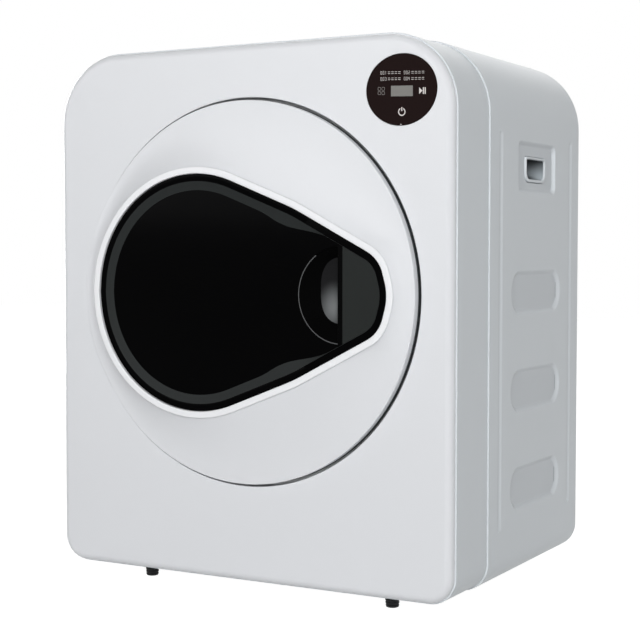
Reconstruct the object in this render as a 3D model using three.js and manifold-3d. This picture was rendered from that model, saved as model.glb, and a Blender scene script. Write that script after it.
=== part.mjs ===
// A compact front-loading tumble dryer, in millimetres: X to the right, Y to the back, Z up.
// The face of the cabinet is the plane Y = 0 and the floor is Z = 0 until the last lines, which
// move the whole machine so that its box is centred over the origin.
import * as THREE from 'three';
import { mergeVertices } from 'three/addons/utils/BufferGeometryUtils.js';
import Module from 'manifold-3d';

const wasm = await Module();
wasm.setup();

// Clearances
const gap = 0.3; // between pieces that seat or turn on each other
const overrun = 3; // how far a cut runs past what it cuts

// Cabinet
const cabinet_width = 498; // the height, the drum and the door follow from it
const cabinet_depth = 360;
const foot_height = 17;
const top_corner = 80;
const bottom_corner = 41;
const cabinet_wall = 2.6;
const seam_depth = 88.5; // from the face to the seam between front frame and cabinet
const seam_ledge = 1.6; // step from the cabinet in to the front frame
const cover_ledge = 1.6; // step from the front frame in to the front cover
const cover_depth = 10;
const cover_edge = 8.4; // rounding of the face's edge
const cover_wall = 3;

// Embossing of the cabinet sides
const emboss_depth = 1.8;
const emboss_slope = 4.6; // width of the sloping border of each recess
const groove_width = 6;
const groove_front = 119;
const groove_back_drop = 28.5; // from the back of the cabinet to the rear groove
const groove_low = 76;
const groove_top_drop = 95; // from the top to the upper end of a groove
const pad_end_clear = 59.25; // from the cabinet's ends to the ends of a pad
const pad_height = 49;
const pad_low = 116.4; // height of the lowest pad's middle
const grip_pad_space = 137.6; // from the middle of the top pad to the middle of the grip's plate
const pad_count = 3;

// Hand grips in the cabinet sides
const grip_plate_border = 21.9; // from the collar's ends to the ends of the recessed plate
const grip_plate_height = 58;
const grip_plate_corner = 10;
const grip_top_drop = 130.8; // from the top to the middle of the recessed plate
const grip_collar_share = 0.463; // of a pad's length
const grip_collar_height = 28.6;
const grip_collar_corner = 9;
const grip_collar_proud = 1.6; // above the recessed plate
const grip_lip = 6.2; // width of the collar around the hole
const grip_drop = 3; // middle of the collar below the middle of the plate
const grip_flange = 5; // flange behind the wall
const grip_pocket_depth = 30;
const grip_pocket_rise = 20; // how far the pocket reaches up behind the wall
const grip_wall = 2;

// Door, around its own centre
const door_x = 4;
const door_side_clear = 40; // from the door to the nearer side
const door_gap = 3.2;
const door_proud = 11.5; // outer edge of the ring in front of the face
const door_edge = 3;
const door_back = 6; // rear edge of the ring behind the face
const door_wall = 2.6;
const rim_proud = 21; // crest of the tear-drop rim in front of the face
const rim_width = 5.4;
const rim_round = 1.5;
const rim_drop = 3; // from the crest to the start of the cove
const cove_power = 2.2;
const window_round = 128;
const window_left_clear = 25.2; // from the window to the ring's edge
const window_side = 181; // radius of the long sides
const window_side_x = -3.4;
const window_side_z = -75.9; // middle of a side's curve, seen from that side
const window_tip = 35; // radius of each corner at the window's right end
const window_tip_z = 13.5;
const window_tip_back = 3; // from the end of the window to where the corners end
const window_nose = 52; // radius of the curve between the corners
const window_right_clear = 26;
const window_sunk = 2.5;
const window_thick = 4;
const window_border = 8;
const window_band = 10;
const window_dish = 1.8;
const window_seat = 4; // ledge of the ring under the window
const scoop_inset = 53; // from the window's right end to the middle of the scoop
const scoop_radius = 50.5;
const scoop_depth = 15.5;
const scoop_wall = 2;
const scoop_flange = 2.2;
const scoop_behind = 40; // how far the pocket reaches behind the grip plate
const grip_inlay = 1.2;
const liner_front = 3;
const liner_wall = 2.4;
const plug_clear = 10; // between the bowl and the throat
const plug_depth = 30; // of the inner bowl behind the liner
const plug_draft = 6;
const plug_round = 10;
const door_seal_inset = 35;
const door_seal_width = 8;

// Hinge, around the pin
const hinge_inset = 13; // from the door's edge to the pin
const hinge_y = -5;
const hinge_pin_radius = 2.2;
const hinge_barrel_radius = 4.2;
const hinge_leaf_half = 35.5;
const hinge_ear_thick = 8;
const hinge_neck_left = 2.5;
const hinge_neck_right = 6;
const hinge_plate_left = 6;
const hinge_plate_right = 8;
const hinge_plate_end = 6;
const hinge_plate_thick = 2.5;
const hinge_leaf_reach = 42;
const hinge_leaf_thick = 2.5;
const hinge_slot_side = 1.2; // room beside each ear
const hinge_slot_front = 5; // slot in the ring starts this far before the pin
const hinge_notch = 14; // notch in the liner, to the right of the pin
const hinge_head = 1.2;

// Front bulkhead, catch and door switch
const recess_depth = 18;
const bulkhead_wall = 2.5;
const throat_inset = 45;
const throat_length = 40;
const magnet_inset = 15;
const magnet_width = 12;
const magnet_height = 34;
const strike_thick = 1.5;
const strike_border = 1;
const switch_inset = 15;
const switch_angle = 0.67;
const plunger_radius = 3;
const plunger_hidden = 8; // length of the plunger behind the bulkhead
const switch_width = 24;
const switch_height = 16;
const switch_depth = 18;
const plunger_travel = 4;

// Touch panel
const panel_side_drop = 59.6; // from the side to the middle of the lens
const panel_top_drop = 61;
const panel_half_width = 39.4;
const panel_half_height = 35.8;
const panel_proud = 0.5;
const panel_thick = 3.2;
const panel_round = 0.6;
const tray_rim = 2.4;
const tray_wall = 1.8;
const tray_depth = 12.5;
const board_width = 54;
const board_height = 48;
const board_thick = 1.6;
const display_width = 27;
const display_height = 13;

// Drum
const drum_clear = 17.4; // from the drum to the nearest cabinet wall
const drum_floor_clear = 87.4;
const drum_top_clear = 43;
const drum_wall = 1.2;
const drum_corner = 9;
const drum_front = 61;
const drum_back_clear = 75; // from the drum to the back of the cabinet
const drum_lip = 16;
const drum_felt_thick = 5.4;
const drum_felt_length = 12;
const hub_radius = 62;
const hub_wall = 3;
const hub_flange = 11;
const hub_flange_thick = 2.7;
const hub_length = 17;
const bush_wall = 4.4;
const bush_flange = 6;
const bush_flange_thick = 2.2;
const lifter_count = 3;
const lifter_width = 58;
const lifter_height = 36;
const lifter_top = 16;
const lifter_end = 26;
const lifter_end_height = 9;
const perforation_radius = 5;
const perforation_rings = 2;
const perforation_first = 96;
const perforation_pitch = 26;
const perforation_count = 10;

// Rear bulkhead
const rear_space = 6; // between the drum and the rear bulkhead
const rear_wall = 1.5;
const rear_felt_inset = 22;
const rear_felt_width = 12;

// Lint filter
const filter_wall = 6;
const filter_length = 7;
const filter_flange = 8;
const filter_flange_thick = 2.5;
const filter_bar_width = 13;
const filter_bar_height = 12;
const filter_screen_thick = 1.6;
const filter_hole_radius = 5;
const filter_hole_pitch = 18;
const filter_hole_rings = 2;

// Fan
const fan_radius = 78;
const fan_inner = 58;
const fan_width = 28;
const fan_plate = 2;
const fan_blades = 12;
const fan_blade_wall = 1.6;
const fan_hub_radius = 13;
const fan_shaft_radius = 4;
const volute_start = 88;
const volute_growth = 34;
const volute_wall = 2;
const volute_depth = 45;
const elbow_side_clear = 6.1;
const bearing_radius = 12;
const bearing_length = 5;
const pulley_face = 10; // width of the belt pulleys
const pulley_flange = 2.5;
const pulley_cheek = 1.2;
const fan_pulley_radius = 20;
const belt_thick = 2.4;
const belt_width = 6;

// Motor
const motor_radius = 42;
const motor_length = 80;
const motor_back_clear = 19; // from the motor to the rear bulkhead
const motor_nose_radius = 20;
const motor_nose_length = 9;
const motor_bell = 7;
const motor_side_clear = 20.4;
const motor_floor_clear = 18;
const motor_shaft_radius = 5;
const motor_pulley_radius = 9;
const blower_pulley_radius = 30;
const bracket_thick = 3;
const bracket_margin = 18;
const bracket_crown = 8;
const motor_pulley_space = 6;

// Run capacitor
const capacitor_radius = 17.5;
const capacitor_length = 62;
const capacitor_x = 100;
const capacitor_back_clear = 24; // from the capacitor to the rear bulkhead
const clip_wall = 2.5;
const clip_length = 20;

// Heater
const heater_x = 6;
const heater_inset = 29; // from the drum's wall to the bottom of the duct
const heater_width = 128;
const heater_fan_clear = 11; // from the fan housing to the top of the duct
const heater_wall = 1.5;
const heater_window = 8; // border between the duct and the window in the bulkhead
const element_depth = 24;
const element_back = 8;
const element_border = 7;
const element_fins = 9;
const element_rows = 2;
const element_rib = 3;
const element_fin_wall = 2;
const thermostat_radius = 8;
const thermostat_length = 10;

// Exhaust
const spigot_radius = 40;
const spigot_wall = 2;
const spigot_length = 22; // behind the cabinet
const elbow_border = 3;

// Back panel
const back_panel_thick = 1.2;
const back_panel_sunk = 1.5;
const louvre_rows = 7;
const louvre_columns = 2;
const louvre_length = 50;
const louvre_height = 4.6;
const louvre_pitch = 9.4;
const louvre_space = 9;
const gland_side_drop = 55;
const gland_z = 82;
const gland_radius = 8;
const gland_flange = 11;
const gland_bore = 3.6;
const gland_front = 6;
const gland_back = 7;
const gland_flange_thick = 2;

// Feet
const foot_radius = 8.5;
const foot_tip_radius = 7;
const foot_chamfer = 1.5;
const foot_side_drop = 93;
const foot_front = 50;
const foot_back_drop = 48;

// Facets
const full_turn = Math.PI * 2;
const half_turn = Math.PI;
const quarter_turn = Math.PI / 2;
const ring_steps = 44;
const drum_steps = 32;
const small_steps = 12;
const corner_steps = 6; // even, as the corners of a shape are made of half-steps
const cove_steps = 3;
const edge_steps = 2;
const belt_steps = 16;
const support_steps = 360;
const hole_steps = 6;
const grazing_share = 0.05;
const tip_density_share = 0.5;

// Sizes that follow from the ones above
const half_width = cabinet_width / 2;
const drum_radius = half_width - cabinet_wall - Math.abs(door_x) - drum_clear;
const door_z = foot_height + cabinet_wall + drum_floor_clear + drum_radius;
const total_height = door_z + drum_radius + drum_top_clear;
const groove_high = total_height - groove_top_drop;
const grip_height = total_height - grip_top_drop;
const pad_pitch = (grip_height - grip_pad_space - pad_low) / (pad_count - 1);
const groove_back = cabinet_depth - groove_back_drop;
const side_middle = (seam_depth + cabinet_depth) / 2;
const pad_length = cabinet_depth - seam_depth - 2 * pad_end_clear;
const grip_collar_width = pad_length * grip_collar_share;
const grip_plate_width = grip_collar_width + 2 * grip_plate_border;
const door_radius = half_width - Math.abs(door_x) - door_side_clear;
const window_round_x = window_left_clear + window_round - door_radius;
const window_end_x = door_radius - window_right_clear;
const window_tip_x = window_end_x - window_tip_back - window_tip;
const window_nose_x = window_end_x - window_nose;
const scoop_x = window_end_x - scoop_inset;
const throat_radius = door_radius - throat_inset;
const plug_radius = throat_radius - plug_clear;
const door_seal_radius = door_radius - door_seal_inset;
const hinge_x = hinge_inset - door_radius;
const magnet_x = door_radius - magnet_inset;
const switch_radius = door_radius - switch_inset;
const panel_x = half_width - panel_side_drop;
const panel_z = total_height - panel_top_drop;
const frame_inset = seam_ledge;
const cover_inset = seam_ledge + cover_ledge;
const opening_radius = door_radius + door_gap;
const window_front = -rim_proud + window_sunk;
const window_back = window_front + window_thick;
const seat_y = window_back + gap;
const liner_back = liner_front + liner_wall;
const ring_facet_share = Math.cos((half_turn / ring_steps) * (1 + tip_density_share));
const drum_facet_share = Math.cos(half_turn / drum_steps);
const liner_radius = (door_radius - door_wall) * ring_facet_share - gap;
const bulkhead_back = recess_depth + bulkhead_wall;
const collar_radius = throat_radius + bulkhead_wall;
const throat_back = recess_depth + throat_length;
const lip_radius = (collar_radius + drum_felt_thick + 2 * gap) / drum_facet_share;
const drum_inner = drum_radius - drum_wall;
const lip_front = drum_front - drum_lip;
const drum_back = cabinet_depth - drum_back_clear;
const hub_front = drum_back + gap;
const hub_back = hub_front + hub_length;
const rear_front = drum_back + rear_space;
const rear_back = rear_front + rear_wall;
const bush_inner = (hub_radius + hub_wall + gap) / drum_facet_share;
const bush_hole = (bush_inner + bush_wall + gap) / drum_facet_share;
const rear_felt_radius = drum_radius - rear_felt_inset;
const volute_reach = volute_start + volute_growth / 2 + volute_wall;
const heater_low = heater_inset - drum_radius;
const heater_high = -volute_reach - heater_fan_clear;
const heater_drop = -(heater_low + heater_high) / 2;
const volute_front = rear_back + gap;
const volute_back = volute_front + volute_depth;
const pulley_front = volute_back + gap + volute_wall;
const pulley_back = pulley_front + pulley_face;
const motor_x = -(half_width - cabinet_wall - motor_radius - motor_side_clear);
const motor_z = foot_height + cabinet_wall + gap + motor_floor_clear + motor_radius;
const motor_back = rear_front - motor_back_clear;
const motor_front = motor_back - motor_length;
const capacitor_back = rear_front - capacitor_back_clear;
const capacitor_front = capacitor_back - capacitor_length;
const elbow_reach = spigot_radius + elbow_border;
const elbow_x = half_width - cabinet_wall - door_x - elbow_side_clear - elbow_reach;
const elbow_left = elbow_x - elbow_reach;
const volute_outlet = elbow_left - gap;
const panel_back = -panel_proud + panel_thick;
const gland_x = half_width - gland_side_drop;
const foot_x = half_width - foot_side_drop;
const foot_back = cabinet_depth - foot_back_drop;
const back_panel_back = cabinet_depth - back_panel_sunk;
const back_panel_front = back_panel_back - back_panel_thick;

// Materials
function finish(color, roughness, metalness = 0) {
  return new THREE.MeshStandardMaterial({ color, roughness, metalness });
}
const white_front = finish('#dfe2e5', 0.32);
const white_body = finish('#d3d7da', 0.42);
const gloss_black = finish('#060606', 0.12);
const dark_grey = finish('#2a2c2b', 0.4);
const panel_black = finish('#241917', 0.2);
const display_grey = finish('#767470', 0.3);
const light_plastic = finish('#c9ccce', 0.5);
const dark_plastic = finish('#34363a', 0.55);
const rubber = finish('#16171a', 0.85);
const felt = finish('#8c8a84', 0.95);
const steel = finish('#b9bcbf', 0.3, 1);
const zinc_steel = finish('#9da2a5', 0.45, 1);
const aluminium = finish('#a9abad', 0.4, 1);
const bronze = finish('#7a5a3c', 0.5, 0.6);
const board_green = finish('#1f4a33', 0.5);

// A closed geometry becomes a solid that can be cut and joined
function solidOf(geometry) {
  const bare = geometry.clone();
  for (const name of Object.keys(bare.attributes)) {
    if (name !== 'position') {
      bare.deleteAttribute(name);
    }
  }
  const merged = mergeVertices(bare);
  const position = merged.attributes.position;
  const index = merged.index.array;
  const corners = [];
  let volume = 0;
  const a = new THREE.Vector3();
  const b = new THREE.Vector3();
  const c = new THREE.Vector3();
  for (let i = 0; i < index.length; i += 3) {
    const [p, q, r] = [index[i], index[i + 1], index[i + 2]];
    if (p === q || q === r || r === p) {
      continue;
    }
    corners.push([p, q, r]);
    a.fromBufferAttribute(position, p);
    b.fromBufferAttribute(position, q);
    c.fromBufferAttribute(position, r);
    volume += a.dot(b.cross(c));
  }
  const facing = volume > 0 ? corners : corners.map(([p, q, r]) => [p, r, q]);
  return new wasm.Manifold(new wasm.Mesh({
    numProp: 3,
    vertProperties: new Float32Array(position.array),
    triVerts: new Uint32Array(facing.flat()),
  }));
}

// A solid becomes a geometry again
function geometryOf(solid) {
  const mesh = solid.getMesh();
  const geometry = new THREE.BufferGeometry();
  geometry.setAttribute('position', new THREE.BufferAttribute(mesh.vertProperties, mesh.numProp));
  geometry.setIndex(new THREE.BufferAttribute(mesh.triVerts, 1));
  geometry.computeVertexNormals();
  return geometry;
}

// Where a point of a section goes: along X a section lies in Y and Z, along Y in X and Z
const station = {
  x: (u, v, at) => [at, u, v],
  y: (u, v, at) => [u, at, v],
  z: (u, v, at) => [u, v, at],
};

function skin(sections, axis, closes) {
  const count = sections[0].points.length;
  const positions = [];
  for (const section of sections) {
    for (const point of section.points) {
      positions.push(...station[axis](point.x, point.y, section.at));
    }
  }
  const index = [];
  const bands = closes ? sections.length : sections.length - 1;
  for (let s = 0; s < bands; s += 1) {
    const next = (s + 1) % sections.length;
    for (let i = 0; i < count; i += 1) {
      const j = (i + 1) % count;
      const [a, b, c, d] = [s * count + i, s * count + j, next * count + i, next * count + j];
      index.push(a, b, d, a, d, c);
    }
  }
  if (!closes) {
    const last = (sections.length - 1) * count;
    for (const [a, b, c] of THREE.ShapeUtils.triangulateShape(sections[0].points, [])) {
      index.push(a, c, b);
    }
    for (const [a, b, c] of THREE.ShapeUtils.triangulateShape(sections.at(-1).points, [])) {
      index.push(last + a, last + b, last + c);
    }
  }
  const geometry = new THREE.BufferGeometry();
  geometry.setAttribute('position', new THREE.Float32BufferAttribute(positions, 3));
  geometry.setIndex(index);
  return solidOf(geometry);
}

// A closed body through a row of sections
function loft(axis, sections) {
  return skin(sections, axis, false);
}

// A ring-shaped body whose last section meets its first
function hoop(axis, sections) {
  return skin(sections, axis, true);
}

function prism(axis, points, from, to) {
  return loft(axis, [{ points, at: from }, { points, at: to }]);
}

// A body of revolution about an axis that runs to the back, from [radius, depth] pairs
function revolve(profile, steps = drum_steps) {
  const points = profile.map(([radius, depth]) => new THREE.Vector2(radius, depth));
  return solidOf(new THREE.LatheGeometry(points, steps));
}

function tube(inner, outer, from, to, steps = drum_steps) {
  return revolve([[inner, from], [outer, from], [outer, to], [inner, to], [inner, from]], steps);
}

function rod(radius, from, to, steps = small_steps) {
  return revolve([[0, from], [radius, from], [radius, to], [0, to]], steps);
}

// A box from its lowest to its highest corner
function block(low, high) {
  const size = high.map((value, i) => value - low[i]);
  const box = new THREE.BoxGeometry(...size);
  box.translate(...low.map((value, i) => value + size[i] / 2));
  return solidOf(box);
}

// The points of a shape whose arcs have the given, even number of segments, each point once
function pointsOf(shape, segments) {
  const points = shape.getPoints(segments / 2);
  return points.filter((point, i) => point.distanceTo(points[(i + 1) % points.length]) > gap / 100);
}

// A rectangle with round corners around a middle; below may differ from above
function roundedRectangle(x, y, width, height, above, below = above, steps = edge_steps) {
  const shape = new THREE.Shape();
  const [left, right] = [x - width / 2, x + width / 2];
  const [low, high] = [y - height / 2, y + height / 2];
  shape.absarc(right - below, low + below, below, -quarter_turn, 0, false);
  shape.absarc(right - above, high - above, above, 0, quarter_turn, false);
  shape.absarc(left + above, high - above, above, quarter_turn, half_turn, false);
  shape.absarc(left + below, low + below, below, half_turn, half_turn + quarter_turn, false);
  return pointsOf(shape, steps);
}

// The outline of the cabinet seen from the front, drawn in by a given amount
function cabinetOutline(inset) {
  const low = foot_height + inset;
  const high = total_height - inset;
  const width = cabinet_width - 2 * inset;
  const corners = [top_corner - inset, bottom_corner - inset, corner_steps];
  return roundedRectangle(0, (low + high) / 2, width, high - low, ...corners);
}

function ellipse(x, y, half_x, half_y, steps = 2 * small_steps) {
  const points = new THREE.EllipseCurve(x, y, half_x, half_y, 0, full_turn).getPoints(steps);
  points.pop();
  return points;
}

// The loop around two circles, the first at the origin
function beltLoop(first, second, x, y) {
  const distance = Math.hypot(x, y);
  const heading = Math.atan2(y, x);
  const spread = Math.acos((first - second) / distance);
  const near = first / Math.cos((half_turn - spread) / belt_steps);
  const far = second / Math.cos(spread / belt_steps);
  const shape = new THREE.Shape();
  shape.absarc(0, 0, near, heading + spread, heading - spread + full_turn, false);
  shape.absarc(x, y, far, heading - spread, heading + spread, false);
  return pointsOf(shape, belt_steps);
}

const dryer = new THREE.Group();
const drum_axis = new THREE.Group();
drum_axis.position.set(door_x, 0, door_z);
const motor_axis = new THREE.Group();
motor_axis.position.set(motor_x, 0, motor_z);
dryer.add(drum_axis, motor_axis);

function add(parent, name, solid, material) {
  const mesh = new THREE.Mesh(geometryOf(solid), material);
  mesh.name = name;
  parent.add(mesh);
  return mesh;
}

// Cabinet shell: a wrap with embossed sides and a hole for each hand grip
function embossedRecess(side, outline, depth) {
  const surface = side * half_width;
  return loft('x', [
    { points: outline(emboss_slope), at: surface - side * depth },
    { points: outline(0), at: surface },
    { points: outline(0), at: surface + side * overrun },
  ]);
}

function cabinetShell() {
  const outer = prism('y', cabinetOutline(0), seam_depth, cabinet_depth);
  const inner = prism('y', cabinetOutline(cabinet_wall), seam_depth - overrun, cabinet_depth + overrun);
  let shell = outer.subtract(inner);
  for (const side of [-1, 1]) {
    const groove_middle = (groove_low + groove_high) / 2;
    for (const groove of [groove_front, groove_back]) {
      const outline = (inset) => roundedRectangle(
        groove, groove_middle, groove_width - inset, groove_high - groove_low - inset, (groove_width - inset) / 2);
      shell = shell.subtract(embossedRecess(side, outline, emboss_depth / 2));
    }
    for (let i = 0; i < pad_count; i += 1) {
      const outline = (inset) => roundedRectangle(
        side_middle,
        pad_low + i * pad_pitch,
        pad_length - 2 * inset,
        pad_height - 2 * inset,
        pad_height / 2 - inset,
        pad_height / 2 - inset,
        corner_steps,
      );
      shell = shell.subtract(embossedRecess(side, outline, emboss_depth));
    }
    const plate = (inset) => roundedRectangle(
      side_middle, grip_height, grip_plate_width - 2 * inset, grip_plate_height - 2 * inset, grip_plate_corner - inset);
    shell = shell.subtract(embossedRecess(side, plate, emboss_depth));
    const hole = gripOutline(0);
    const wall = [half_width - cabinet_wall - overrun, half_width + overrun].map((x) => side * x);
    shell = shell.subtract(prism('x', hole, ...wall));
  }
  return shell;
}

// The collar of a hand grip: straight on top, well rounded below
function gripOutline(inset) {
  return roundedRectangle(
    side_middle,
    grip_height - grip_drop,
    grip_collar_width - 2 * inset,
    grip_collar_height - 2 * inset,
    grip_collar_corner / 3,
    grip_collar_corner,
  );
}

// Hand grip: the collar in the hole, a flange behind the wall and a pocket that reaches up
function handGrip(side) {
  const inside = half_width - cabinet_wall - gap;
  const front = half_width - emboss_depth + grip_collar_proud;
  const pocket = inside - grip_pocket_depth;
  const x = (value) => side * value;
  const [low, high] = [grip_height - grip_drop - grip_collar_height / 2, grip_height + grip_pocket_rise];
  const reach = grip_collar_width / 2;
  const cup = (inset) => roundedRectangle(
    side_middle, (low + high) / 2, 2 * (reach - inset), high - low - 2 * inset, grip_collar_corner / 3);
  const collar = prism('x', gripOutline(gap), x(inside - gap), x(front));
  const flange = prism('x', gripOutline(-grip_flange), x(inside - grip_wall), x(inside));
  const cup_outside = loft('x', [
    { points: cup(grip_wall), at: x(pocket) },
    { points: cup(0), at: x(inside - grip_wall / 2) },
  ]);
  const cup_inside = loft('x', [
    { points: cup(2 * grip_wall), at: x(pocket + grip_wall) },
    { points: cup(grip_wall), at: x(inside - grip_wall) },
  ]);
  const mouth = prism('x', gripOutline(grip_lip), x(inside - grip_wall - overrun), x(front + overrun));
  return collar.add(flange).add(cup_outside).subtract(cup_inside).subtract(mouth);
}

add(dryer, 'cabinet_shell', cabinetShell(), white_body);
add(dryer, 'hand_grip_left', handGrip(-1), white_body);
add(dryer, 'hand_grip_right', handGrip(1), white_body);

// Front frame: the smooth sleeve between the cabinet and the face
function frontFrame() {
  const outer = prism('y', cabinetOutline(frame_inset), cover_depth + gap, seam_depth - gap);
  const inner = prism('y', cabinetOutline(frame_inset + cabinet_wall), cover_depth - overrun, seam_depth + overrun);
  return outer.subtract(inner);
}
add(dryer, 'front_frame', frontFrame(), white_body);

// Front cover: a moulded face with a rounded edge, a round door recess and the panel's pocket
function frontCover() {
  const rounded = [];
  for (let i = 0; i <= corner_steps; i += 1) {
    const angle = (i / corner_steps) * quarter_turn;
    const inset = cover_inset + cover_edge * (1 - Math.sin(angle));
    rounded.push({ points: cabinetOutline(inset), at: cover_edge * (1 - Math.cos(angle)) });
  }
  rounded.push({ points: cabinetOutline(cover_inset), at: cover_depth });
  const hollow = loft('y', [
    { points: cabinetOutline(cover_inset + cover_edge), at: cover_wall },
    { points: cabinetOutline(cover_inset + cover_wall), at: cover_edge },
    { points: cabinetOutline(cover_inset + cover_wall), at: cover_depth + overrun },
  ]);
  const recess = tube(opening_radius - gap, opening_radius + cover_wall, cover_wall / 2, recess_depth - gap)
    .translate([door_x, 0, door_z]);
  const opening = rod(opening_radius, -overrun, recess_depth + overrun, drum_steps).translate([door_x, 0, door_z]);
  const pocket = prism(
    'y',
    ellipse(panel_x, panel_z, panel_half_width + gap, panel_half_height + gap),
    -overrun,
    cover_wall + overrun,
  );
  return loft('y', rounded).subtract(hollow).add(recess).subtract(opening).subtract(pocket);
}
add(dryer, 'front_cover', frontCover(), white_front);

// Touch panel: oval lens, with its tray, board and display behind
function panelLens() {
  const outline = (inset) => ellipse(panel_x, panel_z, panel_half_width - inset, panel_half_height - inset);
  return loft('y', [
    { points: outline(panel_round), at: -panel_proud },
    { points: outline(0), at: -panel_proud + panel_round },
    { points: outline(0), at: panel_back },
  ]);
}

function panelTray() {
  const outline = (margin) => ellipse(
    panel_x, panel_z, panel_half_width + margin, panel_half_height + margin, small_steps + corner_steps);
  const front = cover_wall + gap;
  return prism('y', outline(tray_rim), front, front + tray_depth)
    .subtract(prism('y', outline(tray_rim - tray_wall), front - overrun, front + tray_depth - tray_wall));
}

function aroundPanel(width, height, from, to) {
  return block(
    [panel_x - width / 2, from, panel_z - height / 2],
    [panel_x + width / 2, to, panel_z + height / 2],
  );
}
const board_back = cover_wall + gap + tray_depth - tray_wall - gap;
const board_front = board_back - board_thick;
add(dryer, 'panel_lens', panelLens(), panel_black);
add(dryer, 'panel_tray', panelTray(), dark_plastic);
add(dryer, 'control_board', aroundPanel(board_width, board_height, board_front, board_back), board_green);
add(dryer, 'display_module', aroundPanel(display_width, display_height, panel_back + gap, board_front - gap),
  display_grey);

// Door ring: a cove that rises from the round edge to the tear-drop rim
const door_angles = Array.from({ length: ring_steps }, (_, i) => {
  const even = (i / ring_steps) * full_turn;
  return even - tip_density_share * Math.sin(even);
});

// Distance from the door's centre to the window's outline, which is the line pulled tight
// around circles at the round end, the sides, the corners and the nose, drawn in or out
function windowReach(angle, round_offset, tip_offset = round_offset) {
  let least = Infinity;
  for (let i = 0; i < support_steps; i += 1) {
    const normal = (i / support_steps) * full_turn;
    const along = Math.cos(angle - normal);
    if (along > grazing_share) {
      const aside = Math.abs(Math.sin(normal));
      const round = window_round_x * Math.cos(normal) + window_round + round_offset;
      const side = window_side_x * Math.cos(normal) + window_side_z * aside + window_side + round_offset;
      const tip = window_tip_x * Math.cos(normal) + window_tip_z * aside + window_tip + tip_offset;
      const nose = window_nose_x * Math.cos(normal) + window_nose + tip_offset;
      least = Math.min(least, Math.max(round, side, tip, nose) / along);
    }
  }
  return least;
}

function doorSection(reach, at) {
  const points = door_angles.map((angle) => {
    const radius = reach(angle);
    return new THREE.Vector2(radius * Math.cos(angle), radius * Math.sin(angle));
  });
  return { points, at };
}

function windowSection(offset, at, tip_offset = offset) {
  return doorSection((angle) => windowReach(angle, offset, tip_offset), at);
}

function roundSection(radius, at) {
  return doorSection(() => radius, at);
}

function coveDepth(share) {
  const rise = rim_proud - rim_drop - door_proud;
  return -door_proud - rise * (1 - share) ** cove_power;
}

function coveSection(share, behind) {
  const flat = door_radius - door_edge;
  const reach = (angle) => THREE.MathUtils.lerp(windowReach(angle, rim_width), flat, share);
  return doorSection(reach, coveDepth(share) + behind);
}

function doorRing() {
  const sections = [
    windowSection(0, seat_y),
    windowSection(0, -rim_proud + rim_round),
    windowSection(rim_round, -rim_proud),
    windowSection(rim_width - rim_round, -rim_proud),
    windowSection(rim_width, -rim_proud + rim_round),
  ];
  for (let i = 0; i <= cove_steps; i += 1) {
    sections.push(coveSection(i / cove_steps, 0));
  }
  for (let i = 1; i <= edge_steps; i += 1) {
    const angle = (i / edge_steps) * quarter_turn;
    const radius = door_radius - door_edge * (1 - Math.sin(angle));
    sections.push(roundSection(radius, -door_proud + door_edge * (1 - Math.cos(angle))));
  }
  sections.push(roundSection(door_radius, door_back));
  sections.push(roundSection(door_radius - door_wall, door_back));
  for (let i = cove_steps; i > 0; i -= 1) {
    sections.push(coveSection(i / cove_steps, door_wall));
  }
  sections.push(windowSection(rim_width - rim_round, seat_y + door_wall));
  sections.push(windowSection(-window_seat, seat_y + door_wall));
  sections.push(windowSection(-window_seat, seat_y));
  return hoop('y', sections).subtract(earSlots(door_radius + overrun, hinge_barrel_radius));
}

// Room for the two ears of the hinge, from the left edge to a given reach right of the pin
const ear_low = hinge_leaf_half + gap;
const ear_high = ear_low + hinge_ear_thick;

function earSlots(left, right) {
  const slots = [-1, 1].map((side) => {
    const near = side * (ear_low - hinge_slot_side);
    const far = side * (ear_high + hinge_head + hinge_slot_side);
    return block(
      [-left, hinge_y - hinge_slot_front, Math.min(near, far)],
      [hinge_x + right, door_back + overrun, Math.max(near, far)],
    );
  });
  return slots[0].add(slots[1]);
}

// Window: a black border, a sloping band around the large end and a sunk middle
function doorWindow() {
  const plate = loft('y', [
    windowSection(-gap, window_back),
    windowSection(-gap, window_front + window_thick / 4),
    windowSection(-window_thick / 4, window_front),
    windowSection(-window_border, window_front),
    windowSection(-window_border - window_band, window_front + window_dish, -window_border - gap),
  ]);
  const scoop = rod(scoop_radius, window_front - overrun, window_back + overrun, drum_steps)
    .translate([scoop_x, 0, 0]);
  const left_half = block(
    [scoop_x - scoop_radius - overrun, window_front - 2 * overrun, -scoop_radius - overrun],
    [scoop_x, window_back + 2 * overrun, scoop_radius + overrun],
  );
  return plate.subtract(scoop.intersect(left_half));
}

// Flat grip plate in the sunk middle of the window, right of the scoop
function gripPlate() {
  const back = window_front + window_dish - gap;
  const plate = loft('y', [
    windowSection(-window_border - gap - window_band, back, -window_border - 2 * gap),
    windowSection(-window_border - gap - window_band, back - grip_inlay, -window_border - 2 * gap),
  ]);
  const right_side = block(
    [scoop_x + gap, back - grip_inlay - overrun, -door_radius],
    [door_radius, back + overrun, door_radius],
  );
  return plate.intersect(right_side);
}

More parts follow.
